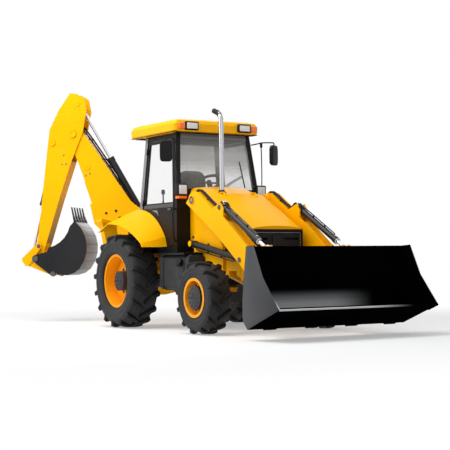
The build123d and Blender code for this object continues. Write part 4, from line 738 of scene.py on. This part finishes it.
for sign in (-1, 1):
    look = Vector((math.cos(mirror_turn), sign * math.sin(mirror_turn), 0))
    spot = at(1135, sign * 880, 2430)
    head = cushion(head_deep, 172, 290, 0.05, 5.5)
    head.matrix_world = Matrix.Translation(spot) @ look.to_track_quat("X", "Z").to_matrix().to_4x4()
    heads.append(head)
    glass = plate([
        (70 * squared(math.cos(turn)), 128 * squared(math.sin(turn)))
        for turn in (math.tau * (i + 0.5) / 32 for i in range(32))
    ], 3, 0.8)
    glass.matrix_world = facing(spot - look * (head_deep / 2 + glass_proud) / 1000, -look)
    mirror_glasses.append(glass)
    rods.append(pipe([at(x, sign * y, z) for x, y, z in (
        (966, 600, 2580), (1000, 668, 2592), (1060, 720, 2612), (1128, 860, 2612), (1140, 884, 2606), (1138, 882, 2560),
        (1136, 880, 2480),
    )], 9))
    rods.append(pipe([at(x, sign * y, z) for x, y, z in ((1115, 680, 1985), (1100, 700, 2200), (1056, 716, 2606))], 8))
    rods.append(bar(at(1064, sign * 714, 2540), at(1056, sign * 716, 2616), 34, 34, 8))
mirror_heads = settle(joined(heads), "mirror_heads", cab_black, "machine", 60)
settle(joined(mirror_glasses), "mirror_glass", silver, "machine")
settle(joined(rods), "mirror_rods", cab_black, "machine")
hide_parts("mirrors")

# ---------------------------------------------------------------- tanks and steps
# Rotomoulded tanks in dark grey plastic, held by steel straps at both sides of the frame, under step plates
# of black chequered steel.
tank_plastic = coat("tank_plastic", (0.034, 0.035, 0.037), 0.5, 0.5, 0.15, 0.1, scale=30, shine=0.2)
wear(tank_plastic, "tank_right", "tank_left")
wear(black_paint, "steps")
for side, sign in halves:
    straps = [
        pipe([at(forward, sign * y, z) for y, z in (
            (560, 1024), (740, 1024), (784, 990), (784, 620), (784, 560), (720, 546), (560, 546),
        )], 7, 2)
        for forward in (860, 1420)
    ]
    settle(joined(straps), f"tank_straps_{side}", black_paint, "machine")
    neck = turned([(0, 0), (46, 0), (46, 26), (56, 26), (56, 52), (48, 60), (0, 62)], 32)
    neck.matrix_world = facing(at(1340, sign * 779, 900), (0, sign, 0.5))
    settle(neck, f"filler_cap_{side}", black_paint, "machine")
    treads = repeated(block((26, 6, 5), 1.5, 1), [
        Matrix.Translation(at(820 + 44 * i, sign * (560 + 40 * j), 1053))
        @ Matrix.Rotation(math.radians(45 if (i + j) % 2 else -45), 4, "Z")
        for i in range(15) for j in range(3)
    ])
    settle(treads, f"step_treads_{side}", black_paint, "machine")

# ---------------------------------------------------------------- loader arms, rams and levers
# Welded box arms in machine paint with pinned ends, black rams with chromed rods and steel pipes along
# the arm's top edge.
wear(yellow_paint, "loader_arms", "tilt_levers", "tilt_links")
chrome_rod = coat("chrome_rod", (0.75, 0.76, 0.78), 0.1, 0.02, 0.02, metallic=1.0)
barrel_paint = coat("barrel_paint", (0.009, 0.009, 0.010), 0.36, 0.15, 0.2, 0.05, clear=0.04, shine=0.25)
wear(barrel_paint, "lift_barrels", "tilt_barrels")
wear(chrome_rod, "lift_rods", "tilt_rods")


def pinned(name, body, finish, slot, radius, proud, places):
    """Caps of one size on the pins that a body carries: chamfered discs with a grease point in the middle."""
    cap = turned([
        (0, -1), (radius, -1), (radius, proud * 0.7), (radius - proud * 0.3, proud), (radius * 0.4, proud),
        (radius * 0.34, proud * 0.75), (6, proud * 0.75), (5, proud * 1.3), (0, proud * 1.4),
    ], 32)
    settle(repeated(cap, places), name, finish, body)


def both_sides(*places):
    """Placements on the outer faces of the right and left halves of the machine."""
    return [facing(at(forward, sign * left, up), (0, sign, 0)) for forward, left, up in places for sign in (-1, 1)]


pinned("arm_hinge_caps", "loader_arms", bolt_steel, "chrome", 56, 16, both_sides((1457, 670, 1753)))
pinned("arm_pin_caps", "loader_arms", bolt_steel, "chrome", 34, 10,
       both_sides((3080, 670, 620), (2150, 670, 1625), (2620, 670, 945)))
pinned("bucket_pin_caps", "loader_bucket", bolt_steel, "chrome", 40, 9, both_sides((3385, 705, 330), (3435, 678, 790)))
pinned("lever_pin_caps", "tilt_levers", bolt_steel, "chrome", 30, 8, both_sides((3130, 678, 1080)))
arm_top = ((1300, 1717), (1470, 1864), (1560, 1858), (1960, 1614), (2060, 1642), (2168, 1682))
arm_nose = ((2790, 1124), (3202, 762), (3424, 386))
arm_faces, pipe_rows = (533, 667), (565, 598)
edges = [
    pipe([at(x, sign * left, z) for x, z in run], 5, 2)
    for edge in (arm_top, arm_nose) for sign in (-1, 1) for left in arm_faces for run in zip(edge, edge[1:])
]
settle(joined(edges), "arm_edge_welds", yellow_paint, "loader_arms")
lines = [
    pipe([at(x, sign * left, z) for x, z in (
        (1330, 1800), (1475, 1888), (1575, 1880), (1960, 1636), (2035, 1660), (2085, 1700), (2150, 1696), (2215, 1660),
        (2245, 1600),
    )], 11)
    for sign in (-1, 1) for left in pipe_rows
]
clips = [
    bar(at(x, sign * 545, z), at(x, sign * 618, z), 10, 16, 3)
    for sign in (-1, 1) for x, z in ((1560, 1868), (1760, 1746), (1950, 1632))
]
settle(joined(lines + clips), "arm_pipes", cab_black, "loader_arms")
fittings = [
    bar(at(2134, sign * left, 1700), at(2168, sign * left, 1688), 27, 27, 6) for sign in (-1, 1) for left in pipe_rows
]
settle(joined(fittings), "arm_fittings", chrome_rod, "loader_arms")


def ram_dress(name, body, base, eye, barrel, radius, offset_axis, offsets, over):
    """Gland, weld rings and a hard pipe with its ports along the barrel of each ram on a body, as one piece each."""
    line = (eye - base).normalized()
    rings, bright = [], []
    for offset in offsets:
        foot = base + offset_axis * offset / 1000
        for reach, ring, long in ((barrel - 60, radius + 4, 22), (barrel - 26, radius + 6, 20), (70, radius + 5, 16)):
            part = turned([(radius - 2, 0), (ring, 0), (ring, long * 0.8), (ring - 3, long), (radius - 2, long)], 40)
            part.matrix_world = facing(foot + line * reach / 1000, line)
            rings.append(part)
        up = over * (radius + 14) / 1000
        rings.append(pipe([foot + line * reach / 1000 + up * rise for reach, rise in (
            (78, 0.6), (84, 1.0), (110, 1.15), (barrel * 0.5, 1.15), (barrel - 110, 1.15), (barrel - 84, 1.0),
            (barrel - 78, 0.6),
        )], 8))
        for share in (0.35, 0.65):
            spot = foot + line * barrel * share / 1000
            rings.append(bar(spot + up * 0.7, spot + up * 1.25, 24, 14, 3))
        union = turned([(8, 0), (15, 0), (15, 14), (11, 18), (8, 18)], 6)
        union.matrix_world = facing(foot + line * (barrel - 80) / 1000 + up * 0.55, over)
        wiper_ring = turned([(radius * 0.62, 0), (radius + 1, 0), (radius - 3, 7), (radius * 0.62, 9)], 40)
        wiper_ring.matrix_world = facing(foot + line * barrel / 1000, line)
        bright += [union, wiper_ring]
    settle(joined(rings), f"{name}_pipes", barrel_paint, body)
    settle(joined(bright), f"{name}_unions", chrome_rod, body)


left_axis = Vector((0, 1, 0))
# ram, its pins' forward places and heights, barrel's length and radius, and the pipe's side
for name, base, eye, barrel, radius, over in (
    ("lift_ram", (1360, 1170), (2620, 945), 1130, 44, -1), ("tilt_ram", (2150, 1625), (3130, 1080), 940, 40, 1),
):
    start, end = at(base[0], 0, base[1]), at(eye[0], 0, eye[1])
    across = (end - start).cross(left_axis).normalized() * over
    ram_dress(name, name.replace("ram", "barrels"), start, end, barrel, radius, left_axis, (-600, 600), across)

# ---------------------------------------------------------------- loader bucket
# Bent and welded plate in black paint with a bolted cutting edge. Grey is mixed in on the floor and low on the back
# sheet towards one side: partly steel scoured by work, partly a painted sheen.
bucket_paint = coat("bucket_paint", (0.0010, 0.0011, 0.0012), 0.42, 0.25, 0.3, shine=0.0)
tree = bucket_paint.node_tree
place, painted = tree.nodes["Texture Coordinate"].outputs["Object"], tree.nodes["Mix"].outputs["Result"]
where = wired(tree, "SeparateXYZ", {"Vector": place}).outputs
right_side, left_side = (corner.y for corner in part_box("loader_bucket"))
wide = left_side - right_side
one_side = wired(tree, "MapRange", {
    "Value": where["Y"], "From Min": right_side + 0.84 * wide, "From Max": right_side + 0.54 * wide,
}, interpolation_type="SMOOTHSTEP")
low_down = wired(tree, "MapRange", {
    "Value": where["Z"], "From Min": 0.60, "From Max": 0.38,
}, interpolation_type="SMOOTHERSTEP")
look = wired(tree, "SeparateXYZ", {"Vector": wired(tree, "NewGeometry").outputs["True Normal"]}).outputs
inside = wired(tree, "Math", {0: look["X"], 1: look["Z"]}, operation="ADD", use_clamp=True)
above_lip = wired(tree, "Math", {0: where["Z"], 1: 0.362}, operation="GREATER_THAN")
# The grey below is partly scoured steel and partly a painted sheen: strongest low down, on the inside and to one side.
worn = low_down.outputs["Result"]
for share in (one_side.outputs["Result"], inside.outputs["Value"], above_lip.outputs["Value"]):
    worn = wired(tree, "Math", {0: worn, 1: share}, operation="MULTIPLY").outputs["Value"]
steel_and_sheen = wired(tree, "Mix", {"Factor": worn, "A": painted, "B": (0.60, 0.61, 0.62, 1)}, data_type="RGBA")
feed(tree, tree.nodes["Principled BSDF"], {"Base Color": steel_and_sheen.outputs["Result"]})
wear(bucket_paint, "loader_bucket")
# The side skins are a lighter grey than the bucket's black: a painted reflection on its outer sides.
side_sheen_paint = coat("bucket_side_sheen_paint", (0.030, 0.031, 0.034), 0.4, 0.2, 0.3, scale=5, shine=0.3)
side_points = [
    (3557, 1095), (3470, 478), (3468, 280), (3480, 220), (3567, 130), (4225, 372), (3908, 742), (3722, 1108),
]
half_bucket, skin_thick, seam_in = 1175, 3, 17
for side, left in (("right", -half_bucket), ("left", half_bucket + skin_thick)):
    sheen_skin = plate(side_points, skin_thick, 1)
    sheen_skin.matrix_world = Matrix.Translation(at(0, left, 0)) @ Matrix.Rotation(math.radians(90), 4, "X")
    settle(sheen_skin, f"bucket_side_sheen_skin_{side}", side_sheen_paint, "loader_bucket")
floor_seam, back_seam = ((3600, 155), (3900, 262), (4190, 368)), ((3572, 1090), (3480, 480), (3492, 262), (3580, 158))
seams = [
    pipe([at(x, sign * (half_bucket - seam_in), z) for x, z in seam], 6, 2)
    for seam in (floor_seam, back_seam) for sign in (-1, 1)
]
settle(joined(seams), "bucket_welds", bucket_paint, "loader_bucket")
edge_bolt = turned([(0, -2), (17, -2), (16, 2), (8, 3.5), (7, 1), (0, 1)], 20)
edge_places = [facing(at(4150, left, 348), (-0.34, 0, 0.94)) for left in range(-1050, 1051, 210)]
settle(repeated(edge_bolt, edge_places), "edge_bolts", bolt_steel, "loader_bucket")

# ---------------------------------------------------------------- digging arm
# The kingpost carries a welded boom and dipper in machine paint with black rams, steel pipes in clamps
# along the front edge and capped pins.
wear(yellow_paint, "kingpost", "boom", "dipper", "tip_lever", "tip_link", "stabiliser_right", "stabiliser_left")
wear(barrel_paint, "boom_ram_barrel", "dipper_ram_barrel", "dig_ram_barrel")
wear(chrome_rod, "boom_ram_rod", "dipper_ram_rod", "dig_ram_rod")
post = Vector((pivot["slew"].x, pivot["slew"].y, 0))
reach_axis = Vector((-math.sqrt(0.5), -math.sqrt(0.5), 0))
side_axis = Vector((-math.sqrt(0.5), math.sqrt(0.5), 0))


def in_arm(out, up, side=0):
    """Place in the digging arm's plane: out from the kingpost, up, and to the arm's side, in millimetres."""
    return post + (reach_axis * out + side_axis * side + Vector((0, 0, up))) / 1000


def arm_sides(*places):
    """Placements on both outer faces of the digging arm."""
    return [
        facing(in_arm(out, up, sign * side), side_axis * sign) for out, up, side in places for sign in (-1, 1)
    ]


# caps' name, body, finish, slot, radius and height, and their places in the arm's plane
for *cap, places in (
    ("king_caps", "kingpost", bolt_steel, "chrome", 44, 9, ((300, 750, 135), (180, 1050, 131))),
    ("boom_caps", "boom", yellow_paint, "yellow_paint", 58, 9, ((1030, 2960, 132), (-60, 1700, 101))),
    ("boom_eye_caps", "boom", yellow_paint, "yellow_paint", 46, 8, ((800, 2430, 95),)),
    ("dipper_caps", "dipper", yellow_paint, "yellow_paint", 48, 9, ((1370, 2830, 126), (950, 3440, 120))),
    ("tip_caps", "tip_lever", bolt_steel, "chrome", 32, 8, ((1600, 1200, 167),)),
    ("dig_caps", "dig_bucket", bolt_steel, "chrome", 42, 9, ((1640, 1000, 205), (1350, 760, 203))),
):
    pinned(*cap, arm_sides(*places))
# Flat black discs on the boom's sides: painted shade standing in for holes there.
hole_disc = turned([(0, -1), (22, -1), (22, 2), (18, 3), (0, 3)], 24)
settle(repeated(hole_disc, arm_sides((495, 1700, 95), (333, 1733, 95))),
       "boom_hole_shades", black_paint, "boom")
cover = turned([(0, -1), (36, -1), (36, 2), (30, 3), (0, 3)], 32)
settle(repeated(cover, arm_sides((270, 1610, 95))), "boom_hole_shade_large", black_paint, "boom")
settle(repeated(bolt(17, 9), arm_sides((1183, 2635, 120), (1217, 2490, 120), (1149, 2490, 120))),
       "dipper_bolts", bolt_steel, "dipper")
settle(repeated(bolt(17, 9), arm_sides((826, 2300, 95), (760, 2330, 95))), "boom_bolts", bolt_steel, "boom")
boom_lines = [
    pipe([in_arm(out, up, side) for out, up in (
        (40, 1850), (80, 1905), (226, 2116), (540, 2570), (860, 3030), (905, 3075),
    )], 11)
    for side in (-82, -60, 60, 82)
]
boom_clamps = [
    bar(in_arm(out, up, sign * 48), in_arm(out, up, sign * 94), 30, 34, 6)
    for sign in (-1, 1) for out, up in ((150, 2000), (300, 2216), (540, 2560), (760, 2876))
]
settle(joined(boom_lines + boom_clamps), "boom_pipes", cab_black, "boom")
dipper_weld = [
    pipe([in_arm(out, up, side) for out, up in run], 4, 2)
    for side in (-118, 118) for run in (((1062, 2532), (1272, 1924)), ((1272, 1924), (1490, 1242)))
]
settle(joined(dipper_weld), "dipper_welds", yellow_paint, "dipper")
# ram, its pins in the arm's plane, barrel's length and radius, and the pipe's side
for name, base, eye, barrel, radius, over in (
    ("boom_ram", (180, 1050), (800, 2430), 1330, 58, -1), ("dipper_ram", (-60, 1700), (950, 3440), 1010, 52, 1),
    ("dig_ram", (1370, 2830), (1800, 930), 1010, 45, 1),
):
    start, end = in_arm(*base), in_arm(*eye)
    across = (end - start).cross(side_axis).normalized() * over
    ram_dress(name, f"{name}_barrel", start, end, barrel, radius, side_axis, (0,), across)

# ---------------------------------------------------------------- digging bucket
# Rolled plate with welded sides and bolted teeth, in black. The ground has scoured its back to pale steel
# on the flats between the bends.
dig_paint = coat("dig_paint", (0.010, 0.0105, 0.012), 0.38, 0.3, 0.35, scale=6, shine=0.22)
scoured_back = coat("scoured_back", (0.20, 0.205, 0.21), 0.42, 0.3, 0.35, scale=16)
wear(dig_paint, "dig_bucket")


def arc_through(start, middle, end, flats):
    """Corners of flats along the arc through three points of the arm's plane."""
    (x1, y1), (x2, y2), (x3, y3) = start, middle, end
    twice = 2 * (x1 * (y2 - y3) + x2 * (y3 - y1) + x3 * (y1 - y2))
    a, b, c = x1 ** 2 + y1 ** 2, x2 ** 2 + y2 ** 2, x3 ** 2 + y3 ** 2
    cx = (a * (y2 - y3) + b * (y3 - y1) + c * (y1 - y2)) / twice
    cy = (a * (x3 - x2) + b * (x1 - x3) + c * (x2 - x1)) / twice
    first, mid, last = (math.atan2(y - cy, x - cx) for x, y in (start, middle, end))
    ring = math.hypot(x1 - cx, y1 - cy)
    sweep = (last - first) % math.tau
    if (mid - first) % math.tau > sweep:
        sweep -= math.tau
    turns = [first + sweep * i / flats for i in range(flats + 1)]
    return [(cx + ring * math.cos(turn), cy + ring * math.sin(turn)) for turn in turns]


back = arc_through((945, 1572), (762, 1160), (880, 840), 6) + arc_through((880, 840), (1090, 735), (1310, 790), 4)[1:]
half_back, joint_gap, stand_off = 262, 7, 2
strips = []
for (x1, y1), (x2, y2) in zip(back, back[1:]):
    length = math.dist((x1, y1), (x2, y2))
    strip = block((2 * half_back, length - joint_gap, 5), 2, 2)
    along = (in_arm(x2, y2) - in_arm(x1, y1)).normalized()
    strip.matrix_world = Matrix((side_axis, along, side_axis.cross(along))).transposed().to_4x4()
    strip.location = in_arm(
        (x1 + x2) / 2 - stand_off * (y2 - y1) / length, (y1 + y2) / 2 + stand_off * (x2 - x1) / length)
    strips.append(planted(strip))
settle(joined(strips), "dig_bucket_back", scoured_back, "dig_bucket")
weld_lines = [
    pipe([in_arm(out, up, side) for out, up in ((1070, 1360), (1200, 1130), (1420, 870))], 4, 2)
    for side in (-266, 266)
]
settle(joined(weld_lines), "dig_bucket_welds", dig_paint, "dig_bucket")

# ---------------------------------------------------------------- stabilisers
# Folding legs in machine paint, each on a pin through the rear frame, with a cap on the pin and ribs
# welded across its pad.
for side, sign in halves:
    ribs = [
        bar(at(forward, sign * 604, 1508), at(forward, sign * 862, 1556), 10, 34, 3) for forward in (-1025, -955, -885)
    ]
    settle(joined(ribs), f"pad_ribs_{side}", yellow_paint, f"stabiliser_{side}")
    pinned(f"leg_cap_{side}", "machine", bolt_steel, "chrome", 40, 10, [facing(at(-883, sign * 560, 620), (1, 0, 0))])
